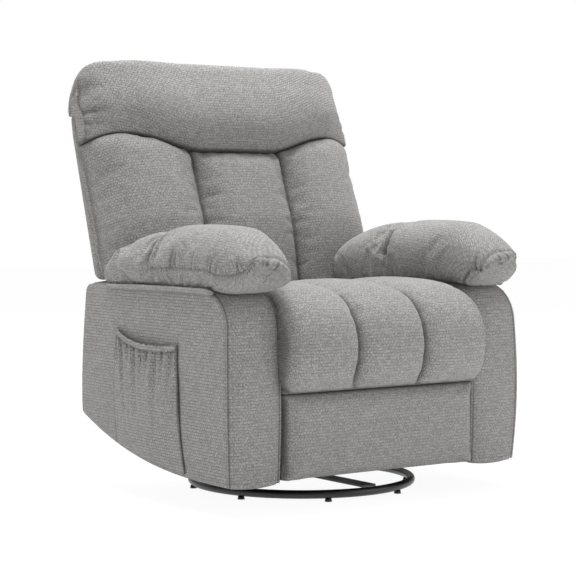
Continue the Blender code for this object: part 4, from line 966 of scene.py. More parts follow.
def arm_rings(outline):
    """Sections of the left arm from its inner panel to its outer one, its flat strips and its two seams."""
    border = inset(outline, ARM_EDGE)
    band_low, band_fade, band_front_y = 0.125, 0.05, -0.27
    banded = unit((outline[:, 1] - ARM_FOOT_Z - band_low) / band_fade)
    banded = np.where(outline[:, 0] < band_front_y, 1.0, banded)
    inner, outer = ARM_INNER_X, ARM_OUTER_X
    low, high = inner + ARM_EDGE, outer - ARM_EDGE
    band_crown, seam_dip = 0.0065, 0.0026
    turns = np.radians((0, 18, 36, 54, 72))
    rings, seams = [], []

    def ring(x, points):
        rings.append(np.column_stack([np.broadcast_to(x, (len(points),)), points]))

    def edge_ring(x, side, t):
        ring(x + side * ARM_EDGE * (1 - math.cos(t)), inset(outline, ARM_EDGE * (1 - math.sin(t))))

    def seam_ring(x):
        seams.append(len(rings))
        ring(x, inset(outline, seam_dip))

    for share in (0.06, 0.18, 0.32, 0.46, 0.6, 0.72, 0.83, 0.92, 0.97):
        ring(inner, ARM_CENTRE + (border - ARM_CENTRE) * share)
    flat = list(range(len(rings)))
    for t in turns:
        edge_ring(inner, 1.0, t)
    seam_ring(low)
    for share in eased(14, 0.75)[1:-1]:
        crown = band_crown * chest(share, 2.2)
        ring(low + (high - low) * share, outline + outward_of(outline) * (crown * banded)[:, None])
    seam_ring(high)
    for t in turns[::-1]:
        edge_ring(outer, -1.0, t)
    first = len(rings) - 1
    for share in (0.97, 0.93, 0.87, 0.8, 0.72, 0.64, 0.55, 0.46, 0.37, 0.28, 0.19, 0.11, 0.05):
        spots = ARM_CENTRE + (border - ARM_CENTRE) * share
        ring(outer + arm_swell(spots[:, 0], spots[:, 1]), spots)
    flat += list(range(first, len(rings) - 1))
    rings = np.array(rings)
    rings[..., 0] += barrel(rings[..., 0], rings[..., 2])
    return rings, flat, seams


def make_arms():
    """Arms with a crowned front band between twin-stitched seams, and swelling outer panels."""
    outline = arm_outline()
    rings, flat, seams = arm_rings(outline)
    run = travelled(outline)
    lift, drawn = np.zeros((2, *rings.shape[:2]))
    wave_height, wave_pitch, wave_reach, shade = 0.0007, 0.019, 0.014, 0.0028
    for number, seam in enumerate(seams):
        away = np.abs(rings[:, :1, 0] - rings[seam, 0, 0])
        away = away + np.linalg.norm(rings[:, :, 1:] - rings[seam][None, :, 1:], axis=2)
        lift += wave_height * ripple(run, wave_pitch, 5.0 + number)[None] * np.exp(-away / wave_reach)
        # Painted shade along the twin seams.
        drawn += bell(away, shade)
    x, y, z = np.moveaxis(rings, -1, 0)
    outside = x > ARM_OUTER_X - 0.001
    sag = 0.4 * arm_swell(y, z) * np.sin(z * 34.0 + 6.0 * y) * np.sin(y * 17.0 + 1.0) * outside
    lift += np.where(z > ARM_TOP_Z - 0.12, 0.3, 1.0) * sag
    left = loft("arm_left_cover", rings, flat, straight=True)
    raised(left, lift)
    store_painted_shade(left, drawn)
    y, z = outline[:, 0], outline[:, 1]
    visible = np.nonzero((y < -0.262) | (z > ARM_TOP_Z - 0.004) | (y > ARM_REAR_Y - 0.02))[0]
    start = int(np.argmax(np.diff(np.append(visible, visible[0] + len(outline))))) + 1
    order = np.roll(visible, -start)
    lines = [
        thread_line(left, row * len(outline) + order, 0.0003)
        for seam in seams for row in (seam - 2, seam + 2)]
    rounded(left)
    right = linked("arm_right_cover", flipped(left.data.copy()))
    for side, piece in (("left", left), ("right", right)):
        flip = np.array((SIDES[side], 1.0, 1.0))
        placed(piece, "chassis", "grey_weave", f"arm_cover_{side}")
        sewn(f"arm_{side}_stitching", [line * flip for line in lines], "chassis")


def back_depth(x, draw):
    """Front of the lower back cushion at a place across it."""
    form = settings("form")
    seam = form.back_seam
    side = unit((np.abs(x) - seam) / (BACK_HALF - seam))
    share = np.where(np.abs(x) < seam, (x + seam) / (2 * seam), side)
    seam_w, draw_depth = 0.152, 0.016
    groove = seam_w + (SIDE_W - seam_w) * side ** 3.2
    return groove + form.back_crown * chest(share, 2.3) * (1.0 - draw) - draw_depth * draw


def back_taper(v):
    """How far the back cushion falls back towards the seat."""
    depth, reach = 0.055, 0.26
    return depth * unit(1.0 - (v - BACK_FOOT_V) / reach) ** 1.3


def back_front_y(x, z):
    """Front of the lower back cushion beside an arm pad."""
    lean = settings("form").back_lean
    full = depth = back_depth(np.minimum(np.abs(x), BACK_HALF), 0.0)
    for _ in range(3):
        v = (z - HINGE_Z - depth * math.sin(lean)) / math.cos(lean)
        depth = full - back_taper(v)
    return HINGE_Y + (z - HINGE_Z) * math.tan(lean) - depth / math.cos(lean)


def pad_ring(t, turns, rise):
    """Section of an arm pad at a share of its length, as (x, y, z)."""
    overhang, rear_overhang, outer_overhang = 0.010, 0.044, 0.004
    nose_share, tail_share, crest = 0.22, 0.10, 0.415
    front_fall, rear_fall, droop_share, droop = 0.30, 0.42, 0.20, 0.006
    sink, outer_lap, tuck, inner_hang, rear_gap = 0.002, 0.007, 0.010, 0.016, 0.004
    front_y = settings("form").pad_front + 0.008
    inner = ARM_INNER_X - overhang - rear_overhang * min(t / 0.6, 1.0)
    outer = ARM_OUTER_X + outer_overhang
    width = outer - inner
    front = math.sqrt(1.0 - max(1.0 - t / nose_share, 0.0) ** 2.3)
    rear = math.sqrt(1.0 - max(1.0 - (1.0 - t) / tail_share, 0.0) ** 2.2)
    if t < crest:
        fall = front_fall * ((crest - t) / crest) ** 4.2
    else:
        fall = rear_fall * ((t - crest) / (1.0 - crest)) ** 2.4
    height = rise * (1.0 - fall) * (0.36 + 0.64 * front) * (0.75 + 0.25 * rear)
    past = max(droop_share - t, 0.0) / droop_share
    low = ARM_TOP_Z - sink - droop * past * (1.0 - past) * 4.0
    x_in = inner + width * (0.07 * (1.0 - front) + 0.02 * (1.0 - rear))
    x_out = outer - width * (0.28 * (1.0 - front) + 0.06 * (1.0 - rear))
    cos, sin = np.cos(turns), np.sin(turns)
    low = low + rise * ((0.17 + 0.10 * (1.0 + cos)) * (1.0 - front) + 0.05 * (1.0 - rear))
    low = low - outer_lap * unit(cos) * front
    x = (x_in + x_out) / 2 + (x_out - x_in) / 2 * np.sign(cos) * np.abs(cos) ** 0.72
    x = x + np.where(cos < 0, tuck, 0.0) * unit(-sin)
    lift = np.where(sin > 0, 0.6 * np.abs(sin) ** 0.85, -0.4 * np.abs(sin) ** 0.5)
    z = low + (0.4 + lift) * height
    z = z - inner_hang * min(max((t - 0.3) / 0.4, 0.0), 1.0) * unit(-cos) * unit(0.5 - sin)
    y = front_y + (back_front_y(x, z) - rear_gap - front_y) * t
    return np.stack([x, y, z], 1)


def doubled(grid, closed):
    """Grid with new points midway along its first axis, on a smooth curve through the old ones."""
    if closed:
        wide = np.concatenate([grid[-1:], grid, grid[:2]])
    else:
        wide = np.concatenate([2 * grid[:1] - grid[1:2], grid, 2 * grid[-1:] - grid[-2:-1]])
    middle = (9.0 * (wide[1:-2] + wide[2:-1]) - wide[:-3] - wide[3:]) / 16.0
    joined = np.empty((len(grid) + len(middle),) + grid.shape[1:])
    joined[0::2], joined[1::2] = grid, middle
    return joined


def nearest_on(line, points):
    """Distance of points from a polyline, how far along it, and the nearest place."""
    line = resampled(line, 0.002, closed=False)
    along = travelled(line)
    flat = points.reshape(-1, 3)
    best, which = np.full(len(flat), 9.0), np.zeros(len(flat), int)
    for number, place in enumerate(line):
        gap = np.linalg.norm(flat - place, axis=1)
        closer = gap < best
        best[closer], which[closer] = gap[closer], number
    shape = points.shape[:2]
    return best.reshape(shape), along[which].reshape(shape), line[which].reshape(points.shape)


NOSE_REACH = -0.016
TAIL_REACH = 0.003
REAR_ROW_Y = 0.185

# Side, share of the full height, place of the fold across the top and seed of the puckers of each pad
PADS = (("left", 1.0, -0.045, 2.0), ("right", 0.945, 0.022, 6.4))


def pad_seam(rise):
    """Line of the seam round a pad's front, from its outer side over its nose to its inner side."""
    seam = [pad_ring(t, np.array([0.0]), rise)[0] for t in np.linspace(0.62, 0.0, 40)]
    tip = pad_ring(0.0, np.array([0.0, math.pi]), rise).mean(0)
    seam.append(tip + np.array((0.0, NOSE_REACH, 0.0)))
    for t in np.linspace(0.0, 0.19, 22):
        turn = math.pi + 0.45 * math.pi * min(max((t - 0.06) / 0.13, 0.0), 1.0)
        seam.append(pad_ring(t, np.array([turn]), rise)[0])
    return seam


def pad_sections(turns, rise):
    """Sections of a pad from its nose to its tail, and the number that close each end."""
    rings = [pad_ring(t, turns, rise) for t in eased(70, 0.5)]
    nose, tail = [], []
    for t in np.radians((82, 66, 50, 34, 16)):
        for end, store, reach in ((rings[0], nose, NOSE_REACH), (rings[-1], tail, TAIL_REACH)):
            middle = end.mean(0)
            shrunk = middle + (end - middle) * math.cos(t)
            shrunk[:, 1] += reach * math.sin(t)
            store.append(shrunk)
    return np.array(nose + rings + tail[::-1]), len(nose)


def stuffed_pad(rings, caps, turns, cross_y, seam):
    """Sections of a pad after stuffing, held below and at the fold across its top."""
    sin = np.sin(turns)[None] * np.ones(rings.shape[:2])
    gap = nearest_on(seam, rings)[0]
    fold_depth, fold_front, fold_rear, fold_pin = 0.0110, 0.007, 0.026, 0.005
    seam_depth, seam_half = 0.0020, 0.006
    behind = rings[..., 1] - cross_y
    over = unit((sin + 0.15) / 0.3)
    fold = np.where(behind > 0, np.exp(-behind / fold_rear), bell(behind, fold_front)) * over
    held = unit((-sin - 0.45) / 0.2)
    held = np.where((np.abs(behind) < fold_pin) & (sin > -0.1), 1.0, held)
    held[-caps - 2:] = 1.0
    pad = loft("arm_pad_form", rings)
    raised(pad, -fold_depth * fold - seam_depth * bell(gap, seam_half))
    stuffed(pad, held, 0.008, 0.05)
    settled = points_of(pad).reshape(rings.shape) - TO_FRAME
    bpy.data.objects.remove(pad)
    return settled


def finer(grid):
    """Grid of pad sections, four times as fine along the pad and twice round it."""
    return np.swapaxes(doubled(np.swapaxes(doubled(doubled(grid, False), False), 0, 1), True), 0, 1)


def make_pads():
    """Stuffed arm pads: a seam round the front, one across the top, puckers, and a rolled hem below."""
    count, outer_corner = 84, 0.895
    up_reach, down_reach, crease_width = 0.040, 0.030, 0.0017
    tuck_reach, tuck_width, fold_front, fold_rear = 0.045, 0.0024, 0.0030, 0.011
    row_half, dash_pitch, quilt_pitch, quilt_reach, seam_half = 0.007, 0.010, 0.038, 0.03, 0.0022
    pull_depth, seam_depth, quilt_height = 0.0032, 0.0012, 0.0008
    turns = 2.0 * math.pi * np.arange(count) / count
    fine_turns = math.pi * np.arange(2 * count) / count
    for side, share_high, cross_y, seed in PADS:
        rise = settings("form").pad_height * share_high
        seam = pad_seam(rise)
        rings, caps = pad_sections(turns, rise)
        fine = finer(stuffed_pad(rings, caps, turns, cross_y, seam))
        plain = finer(rings)
        sin, cos = (wave_of(fine_turns)[None] * np.ones(fine.shape[:2]) for wave_of in (np.sin, np.cos))
        gap, along, spot = nearest_on(seam, plain)
        rising = (plain - spot) @ np.array((0.0, 0.5, 1.0)) > 0
        spots = uneven(0.02, along.max(), 0.019, seed)
        upward = creases(gap, along, spots, up_reach, crease_width) * rising
        spots = uneven(0.03, 0.20, 0.021, seed + 1.0)
        downward = creases(gap, along, spots, down_reach, crease_width) * ~rising
        run = travelled(fine, 1)
        behind = plain[..., 1] - cross_y
        over = unit((sin + 0.1) / 0.3)
        spots = uneven(0.02, 0.26, 0.025, seed + 2.0)
        tucks = creases(np.abs(behind), run, spots, tuck_reach, tuck_width)
        tucks = tucks * over * (behind > 0)
        rear_row = bell(fine[..., 1] - REAR_ROW_Y + 0.02 * cos, row_half)
        rear_row = rear_row * unit((sin + 0.15) / 0.2)
        dashes = rear_row * unit(np.sin(run * 2.0 * math.pi / dash_pitch)) * unit(0.7 - sin)
        pulled = np.maximum(np.maximum(upward, 0.8 * downward), np.maximum(0.7 * tucks, 0.5 * dashes))
        quilt = np.sin(along * 2 * math.pi / quilt_pitch + seed)
        quilt = quilt_height * quilt * np.exp(-gap / quilt_reach)
        seam_line = bell(gap, seam_half)
        cross_line = bell(behind, np.where(behind > 0, fold_rear, fold_front)) * over
        piece = loft(f"arm_pad_{side}_cover", fine * np.array((SIDES[side], 1.0, 1.0)))
        raised(piece, quilt - pull_depth * pulled - seam_depth * seam_line)
        # Painted shade in the puckers and along the seam round the front and the fold across the top.
        store_painted_shade(piece, np.maximum(np.maximum(pulled, 0.6 * seam_line), cross_line))
        placed(piece, "chassis", "grey_weave", f"arm_pad_{side}")
        corner = int(round(count * outer_corner))
        make_hem(side, rings[caps + 14: -caps - 3, corner])


def make_hem(side, line):
    """Rolled hem under the outer edge of an arm pad."""
    pitch, radius, count = 0.008, 0.0062, 14
    line = resampled(line + np.array((0.0155, 0.0, -0.0035)), pitch, closed=False)
    turns = 2.0 * math.pi * np.arange(count) / count
    loops = []
    for i, (x, y, z) in enumerate(line):
        near = min(i, len(line) - 1 - i) * pitch
        size = radius * math.sqrt(min(1.0, (near + 0.0008) / 0.012))
        size *= 1.0 + 0.10 * math.sin(i * 1.9) * math.sin(i * 0.37)
        across, up = size * np.cos(turns), size * np.sin(turns)
        loops.append(np.column_stack([x + across, np.full(count, y), z + up]))
    roll = loft(f"arm_pad_{side}_hem", loops)
    store_painted_shade(roll, np.zeros(len(loops) * count))
    rounded(roll)
    if side == "right":
        flipped(roll.data)
    placed(roll, "chassis", "grey_weave")


def make_pocket():
    """Cloth pocket on the right arm, gathered on elastic along its mouth."""
    columns, rows = 150, 60
    middle_y, foot_width, narrowing = 0.008, 0.293, 0.026
    mouth_z, mouth_rise, mouth_sag, corner_lift = 0.365, 0.018, 0.016, 0.006
    pitch, thick, elastic, bagging, fold_depth = 0.031, 0.0021, 0.012, 0.010, 0.0130
    foot_gap, folds_from, stand_off, least_gap = 0.012, 0.011, 0.0012, 0.0006
    hem_middle, hem_half, hem_swell = 0.006, 0.006, 0.0018
    gutter_drop, gutter_half, gutter_depth = 0.0145, 0.0026, 0.0012
    mean_width, edge_shade, stitch_drop = 0.28, 0.0035, 0.0135
    share = np.linspace(0.0, 1.0, columns + 1)[None]
    up = (1.0 - (1.0 - np.linspace(0.0, 1.0, rows + 1)) ** 1.5)[:, None]
    y = middle_y + (share - 0.5) * (foot_width - narrowing * up)
    mouth = mouth_z + mouth_rise * share - mouth_sag * np.sin(math.pi * share) ** 0.8
    mouth = mouth + corner_lift * share ** 8
    foot = arm_foot(y)[0] + foot_gap
    z = foot + (mouth - foot) * up
    drop = mouth - z
    under_elastic = drop > folds_from
    wall = ARM_OUTER_X + 1.4 * arm_swell(y, z) + barrel(np.full(z.shape, ARM_OUTER_X), z)
    edge_gap = np.minimum(share, 1 - share) * mean_width
    slack = bagging * np.sin(math.pi * share) ** 0.5 * np.sin(math.pi / 2 * unit(up * 1.3)) ** 0.8
    fan = y + 0.30 * drop * (share - 0.5) + 0.0024 * np.sin(y * 95.0) + 0.05 * drop * np.sin(y * 60.0)
    valley = (0.5 - 0.5 * np.cos(2.0 * math.pi * fan / pitch)) ** 1.3
    long = (0.5 + 0.5 * np.sin(2.4 * np.floor(fan / pitch))) ** 2
    below = np.clip(drop - elastic, 0.0, None)
    fade = np.exp(-(below / (0.030 + 0.075 * long)) ** 1.4)
    gather = (0.35 * np.exp(-below / 0.05) - 1.1 * valley * fade) * unit(edge_gap / 0.010)
    hem = np.exp(-((drop - hem_middle) / hem_half) ** 4)
    gutter = bell(drop - gutter_drop, gutter_half)
    sewn_edge = bell(edge_gap, edge_shade)
    out = wall + stand_off + slack + fold_depth * gather * under_elastic
    out = out + hem_swell * hem - gutter_depth * gutter
    out = np.maximum(out, wall + least_gap)
    z = z + 0.0016 * ripple(y, 0.0185, 1.3) * np.exp(-drop / 0.01)
    grids = [np.stack([x, y, z], -1) for x in (-(out + thick), -out)]
    # Painted shade in the gutter under the hem, along the sewn edges and in the valleys of the gathers.
    drawn = unit(0.5 * gutter + 0.9 * sewn_edge + 0.22 * valley * fade * under_elastic)
    piece = layered("pocket_cloth", grids, [1, 2])
    store_painted_shade(piece, np.concatenate([drawn.ravel(), drawn.ravel()]))
    placed(piece, "chassis", "grey_weave", "side_pocket")
    face = grids[0] + np.array((-THREAD_LIFT, AXIS_Y, 0.0))
    row = int(np.argmin(np.abs(drop[:, columns // 2] - stitch_drop)))
    sewn("pocket_stitching", [face[:-4, 2], face[:-4, -3], face[row, 2:-2]], "chassis")


def wave(x):
    """Seam under the head pillow, along the back."""
    share = np.minimum(np.abs(x) / BACK_HALF, 1.0)
    lift = unit((share - 0.22) / 1.2)
    return WAVE_V + 0.050 * np.sin(math.pi * lift) ** 2


def side_panels(rings, depth, steps):
    """Rings that close a loft's two ends as gently swelling panels, and the flat strips they make."""
    closed = []
    for end, sign in ((rings[0], -1.0), (rings[-1], 1.0)):
        middle = end.mean(0)
        made = []
        for share in np.linspace(1.0, 0.0, steps + 2)[1:-1]:
            loop = middle + (end - middle) * share
            loop[:, 0] = end[:, 0] * share + middle[0] * (1 - share) + sign * depth * (1.0 - share ** 2)
            made.append(loop)
        closed.append(made)
    rings = np.array(closed[0][::-1] + list(rings) + closed[1])
    last = len(rings) - 1
    return rings, [*range(steps), *range(last - steps, last)]


def back_columns(extra=()):
    """Places across the back that crowd at its seams and sides."""
    seam = settings("form").back_seam
    spans = ((-BACK_HALF, -seam), (-seam, seam), (seam, BACK_HALF))
    places = np.concatenate([a + (b - a) * eased(24, 0.85)[:-1] for a, b in spans] + [[BACK_HALF]])
    return np.unique(np.round(np.concatenate([places, extra]), 5))


FOOT_ROWS = np.linspace(0.0, 1.0, 15)[:-1]
LEDGE = len(FOOT_ROWS)
BACK_ROWS = eased(48, 0.6)
BACK_SPAN = LEDGE + len(BACK_ROWS)


def back_ring(x):
    """Section of the lower back at a place across it, with what its seams hold and shade."""
    form = settings("form")
    on_wing = abs(x) > SEAT_HALF
    top = wave(x) - 0.0005
    foot = BACK_FOOT_V + (WING_V - BACK_FOOT_V) * FOOT_ROWS
    v = np.concatenate([foot, WING_V + (top - WING_V) * BACK_ROWS])
    upper_reach, lower_reach, lower_draw = 0.040, 0.050, 0.030
    upper = unit(1.0 - (top - v) / upper_reach) ** 2.2
    lower = unit(1.0 - (v - BACK_FOOT_V) / lower_reach) ** 2.0
    w = back_depth(np.full(len(v), x), upper) - back_taper(v) - lower_draw * lower
    seam_gap = min(abs(abs(x) - form.back_seam), 1.0)
    groove, groove_width = 0.014, 0.0085
    w -= groove * math.exp(-(seam_gap / groove_width) ** 2)
    side_gap, side_round = BACK_HALF - abs(x), 0.05
    at_side = side_gap < ON_SEAM
    if side_gap < side_round:
        w -= 0.75 * (side_round - math.sqrt(side_round ** 2 - (side_round - side_gap) ** 2))
    low, shares = BACK_FOOT_V, (1 / 3, 2 / 3)
    if on_wing:
        low, shares = WING_V, (0.1, 0.2)
        w[:LEDGE] = CUSHION_REAR_W + (w[LEDGE] - 0.004 - CUSHION_REAR_W) * (0.3 + 0.7 * FOOT_ROWS)
        v[:LEDGE] = WING_V
        w[LEDGE: LEDGE + 3] -= np.array((0.003, 0.0012, 0.0004))
    front = np.column_stack([np.full(len(v), x), v, w])
    back = np.column_stack([np.full(6, x), np.linspace(top, low, 6), np.full(6, CUSHION_REAR_W)])
    if at_side:
        back[:, 0] *= 1.0 - 0.011 / BACK_HALF
    bottom = [(x, low, CUSHION_REAR_W + (w[0] - CUSHION_REAR_W) * s) for s in shares]
    head = [(x, top, CUSHION_REAR_W + (w[-1] - CUSHION_REAR_W) * s) for s in (2 / 3, 1 / 3)]
    pins = np.zeros(len(v))
    pins[[0, 1, -1]] = 1.0
    if on_wing:
        pins[:8] = 1.0
    if seam_gap < ON_SEAM or at_side:
        pins[:] = 1.0
    # Painted shade along the seams, under the wave seam, on the cushion's side ring and on its rear rows at
    # the side.
    dark = np.maximum(math.exp(-(seam_gap / 0.0045) ** 2), bell(top - v, 0.004))
    dark = np.maximum(dark, 0.6 if at_side else 0.0)
    behind = np.full(6, 0.9 if at_side else 0.0)
    return (
        np.vstack([front, head, back, bottom]),
        np.concatenate([pins, np.ones(10)]),
        np.concatenate([dark, [0, 0], behind, [0, 0]]))


def evened(settled, cut, rings, columns, extra):
    """Take the stuffing's crease off the lower back where its foot meets its wings."""
    blur, zone = 0.016, 0.05
    x, v = rings[:, 0, 0], rings[..., 1]
    for ring in np.flatnonzero(np.abs(x) <= SEAT_HALF):
        at = v[ring, :BACK_SPAN]
        drift = settled[ring, :BACK_SPAN] - cut[ring, :BACK_SPAN]
        near = bell(at[:, None] - at[None], blur) * np.gradient(at)[None]
        even = near @ drift / near.sum(1, keepdims=True)
        mix = bell(at - WING_V, zone)[:, None]
        settled[ring, :BACK_SPAN] = cut[ring, :BACK_SPAN] + drift * (1.0 - mix) + even * mix
    above = slice(LEDGE + 3, BACK_SPAN)
    for edge in (-SEAT_HALF - 0.0013, SEAT_HALF - 0.0001):
        first = extra + int(np.searchsorted(columns, edge))
        before, after = settled[first - 1, above], settled[first + 2, above]
        for ring in (first, first + 1):
            share = (x[ring] - x[first - 1]) / (x[first + 2] - x[first - 1])
            settled[ring, above] = before * (1.0 - share) + after * share
    return settled


def make_back_cushion():
    """Lower back: three channels, a narrow foot between the arms and wings over them."""
    form = settings("form")
    step, extra = SEAT_HALF, 3
    columns = back_columns((-step - 0.0012, -step, step, step + 0.0012))
    rings, held, drawn = (np.array(kind) for kind in zip(*(back_ring(x) for x in columns)))
    rings, sides = side_panels(rings, 0.003, extra)
    panel = np.ones((extra, rings.shape[1]))
    held = np.vstack([panel, held, panel])
    drawn = np.vstack([panel * 0, drawn, panel * 0])
    x, v = rings[..., 0], rings[..., 1]
    piece = loft("back_cushion_cover", back_place(rings), sides, LEDGE)
    cut = points_of(piece).reshape(rings.shape)
    stuffed(piece, held, 0.010, 0.03)
    settled = points_of(piece).reshape(rings.shape)
    set_points(piece, evened(settled, cut, rings, columns, extra).reshape(-1, 3))
    ramp = unit((v - np.where(np.abs(x) > step, WING_V, 0.02)) / 0.03)
    front = (np.arange(rings.shape[1])[None] < BACK_SPAN) * ramp
    lift = channel_folds(x, v, form.back_seam, (0.06, 0.45, 0.022, 1.0), 0.030, 0.0036)
    lift += seam_waves(x, np.abs(wave(x) - v), 0.0022, 0.024, 4.4, 0.024)
    side_depth, side_reach, side_width = 0.0018, 0.035, 0.0040
    spots = uneven(0.17, 0.48, 0.026, 9.0)
    lift -= side_depth * creases(BACK_HALF - np.abs(x), v, spots, side_reach, side_width)
    raised(piece, lift * front)
    store_painted_shade(piece, drawn)
    shown = np.arange(LEDGE + 2, BACK_SPAN - 1)
    lines = [
        thread_line(piece, ring * rings.shape[1] + shown) for ring in (extra + 1, len(rings) - 2 - extra)]
    rounded(piece)
    placed(piece, "backrest", "grey_weave", "back_cushion")
    sewn("back_cushion_stitching", lines, "backrest")


def hem_height(x):
    """Top of the outer back at a place across it, along the back."""
    r = SHELL_CORNER
    past = unit((abs(x) - (BACK_HALF - SHELL_TAPER) + r) / r)
    return HEM_TOP_V - r * (1.0 - math.sqrt(1.0 - past ** 2))


def pillow_loop(x):
    """Side view of the head pillow at a place across the back, as (v, w)."""
    form = settings("form")
    corner_reach, corner_drop, side_chin_w, chin_w = 0.075, 0.044, 0.097, 0.148
    corner = max(abs(x) - (BACK_HALF - corner_reach), 0.0) / corner_reach
    drop = corner_drop * (1.0 - math.sqrt(max(1.0 - corner ** 2.4, 0.0)))
    full = 1.0 - (abs(x) / BACK_HALF) ** 3.8
    low, top, edge = float(wave(x)), form.pillow_top - drop, hem_height(x * 0.97)
    crown_w = SIDE_W + (form.pillow_crown - SIDE_W) * full
    chin = (low + 0.001, side_chin_w + (chin_w - side_chin_w) * full)
    brow = (low + 0.62 * (top - low), crown_w - 0.009 * full)
    over = (brow[0] + 0.080, brow[1] - 0.018 * full)
    summit = (top, CUSHION_REAR_W + 0.040)
    hem = (edge, REAR_W + 0.001)
    under = (edge - 0.008, CUSHION_REAR_W - 0.006)
    return np.vstack([
        [(low + 0.001, CUSHION_REAR_W), (low + 0.001, (CUSHION_REAR_W + chin[1]) / 2), chin],
        bezier(chin, (low + 0.026, crown_w), (low + 0.090, crown_w), brow, 22),
        bezier(brow, over, (top, summit[1] + 0.085 * full), summit, 24),
        bezier(summit, (top, CUSHION_REAR_W), ((top + edge) / 2, REAR_W - 0.004), hem, 14),
        [under, ((under[0] + low) / 2, CUSHION_REAR_W - 0.001)],
    ])


def make_pillow():
    """Head pillow: smooth, full, drawn in along its wave seam and boxed at its sides."""
    narrowing, side_round, extra = 0.022, 0.016, 5
    fold_depth, fold_reach, fold_width, far_share = 0.0085, 0.060, 0.0070, 0.35
    side_rise, shade = 0.242, 0.004
    rings = []
    for x in back_columns():
        loop = pillow_loop(x)
        up = unit((loop[:, 0] - WAVE_V) / (settings("form").pillow_top - WAVE_V))
        past = max(side_round - (BACK_HALF - abs(x)), 0.0)
        round_in = side_round - math.sqrt(side_round ** 2 - past ** 2)
        middle = loop.mean(0)
        reach = np.linalg.norm(loop - middle, axis=1, keepdims=True)
        above = unit((loop[:, :1] - loop[:, 0].min() - 0.02) / 0.05)
        loop = loop - (loop - middle) / reach * round_in * above
        rings.append(np.column_stack([x * (1.0 - narrowing * up), loop]))
    rings, sides = side_panels(np.array(rings), 0.003, extra)
    first, last, around = extra, len(rings) - 1 - extra, rings.shape[1]
    x, v = rings[..., 0], rings[..., 1]
    columns = np.arange(around)[None] * np.ones(x.shape)
    rows = np.arange(len(rings))[:, None] * np.ones(x.shape)
    before_hem = columns < around - 3
    border = (rows == first) | (rows == last)
    faces = (rows >= first) & (rows <= last)
    held = ((columns <= 3) | ~before_hem).astype(float)
    held = np.where(border, 1.0, held)
    held = np.where(faces, held, 0.9)
    piece = loft("head_pillow_cover", back_place(rings), sides)
    stuffed(piece, held, 0.008, 0.02)
    run = travelled(rings, 1)
    away = unit(run - run[:, 2:3])
    lift = seam_waves(x, away, 0.0024, 0.026, 2.7, 0.03, 0.005)
    side = np.abs(np.abs(x) - BACK_HALF * (1.0 - narrowing * unit((v - WAVE_V) / side_rise)))
    spots = uneven(0.03, 0.34, 0.034, 7.1)
    folds = creases(side, run, spots, fold_reach, fold_width) * (columns > 3)
    folds = folds * np.where(x < 0.0, 1.0, far_share)
    lift -= fold_depth * folds
    raised(piece, lift * before_hem)
    # Painted shade along the wave seam, on the boxing seams at the sides and in the folds.
    drawn = bell(away, shade) * (columns <= 8) * faces + 0.6 * border
    store_painted_shade(piece, np.maximum(drawn, 0.8 * folds * before_hem * faces))
    shown = np.arange(3, around - 4)
    lines = [thread_line(piece, row * around + shown) for row in (first + 1, last - 1)]
    rounded(piece)
    placed(piece, "backrest", "grey_weave", "head_pillow")
    sewn("head_pillow_stitching", lines, "backrest")


def shell_outline(draw):
    """Front view of the outer back, drawn in, as (x, v)."""
    low, high = SHELL_LOW_V + draw, SHELL_TOP_V - draw
    wide, narrow = BACK_HALF - draw, BACK_HALF - SHELL_TAPER - draw
    r, foot = SHELL_CORNER - 0.5 * draw, 0.014 - 0.25 * draw
    right = np.vstack([
        arc((wide - foot, low + foot), foot, -90, 0, 8), arc((narrow - r, high - r), r, 0, 90, 12)])
    left = right[::-1] * np.array((-1.0, 1.0))
    return resampled(np.vstack([right, left]), SHELL_PITCH)


# Depth, how far drawn in and swell of the sections along the outer back's sides
SHELL_SIDES = (
    (0.025, 0.0, 0.0035), (0.036, 0.0, 0.0065), (0.048, 0.0, 0.0065), (0.0545, 0.0030, 0.0035),
    (CUSHION_REAR_W - 0.0006, 0.0115, 0.0),
)


def make_outer_back():
    """Padded outer back with a seamed border and swelling sides."""
    outline, border = shell_outline(0.0), shell_outline(SHELL_BORDER)
    centre = np.array((0.0, 0.39))
    panel_swell, seam_dip, wave_height, wave_pitch = 0.011, 0.0020, 0.0010, 0.03
    count = len(outline)
    even, given = (np.linspace(0, 1, number, endpoint=False) for number in (count, len(border)))
    border = np.stack([np.interp(even, given, border[:, k]) for k in (0, 1)], 1)
    rings = []

    def ring(loop, w):
        rings.append(np.column_stack([loop, np.full(count, w)]))

    panel = (0.05, 0.15, 0.27, 0.39, 0.51, 0.62, 0.72, 0.81, 0.89, 0.95)
    for share in panel:
        ring(centre + (border - centre) * share, REAR_W - panel_swell * (1 - share ** 2.4))
    seam = len(rings)
    ring(border, REAR_W + seam_dip)
    for t in np.radians((20, 50, 80)):
        loop = outline + (border - outline) * (1 - math.sin(t))
        ring(loop, REAR_W + SHELL_BORDER * (1 - math.cos(t)))
    swell_top_v, swell_fade = 0.590, 0.05
    below_hem = unit((swell_top_v - outline[:, 1]) / swell_fade)
    for w, drawn_in, swell in SHELL_SIDES:
        loop = outline + (border - outline) * drawn_in / SHELL_BORDER
        loop[:, 0] *= 1.0 + swell * below_hem / BACK_HALF
        ring(loop, w)
    ring(centre + (outline - centre) * 0.9, CUSHION_REAR_W - 0.0005)
    piece = loft("outer_back_cover", back_place(np.array(rings)), range(seam), flat_axes=(0, 2))
    run = np.arange(count) * SHELL_PITCH
    away = np.abs(np.arange(len(rings)) - float(seam))[:, None]
    raised(piece, wave_height * ripple(run, wave_pitch, 3.3)[None] * np.exp(-away / 1.6))
    # Painted shade on the border seam, and on the inner rings where the outer back meets the lower cushion.
    drawn = np.where(away == 0, 0.8, 0.0) * np.ones((len(rings), count))
    drawn[-3:-1] = ((0.35,), (1.0,))
    store_painted_shade(piece, drawn)
    lines = [thread_line(piece, (seam - 1) * count + np.append(np.arange(count), 0))]
    rounded(piece)
    placed(piece, "backrest", "grey_weave", "outer_back")
    sewn("outer_back_stitching", lines, "backrest")


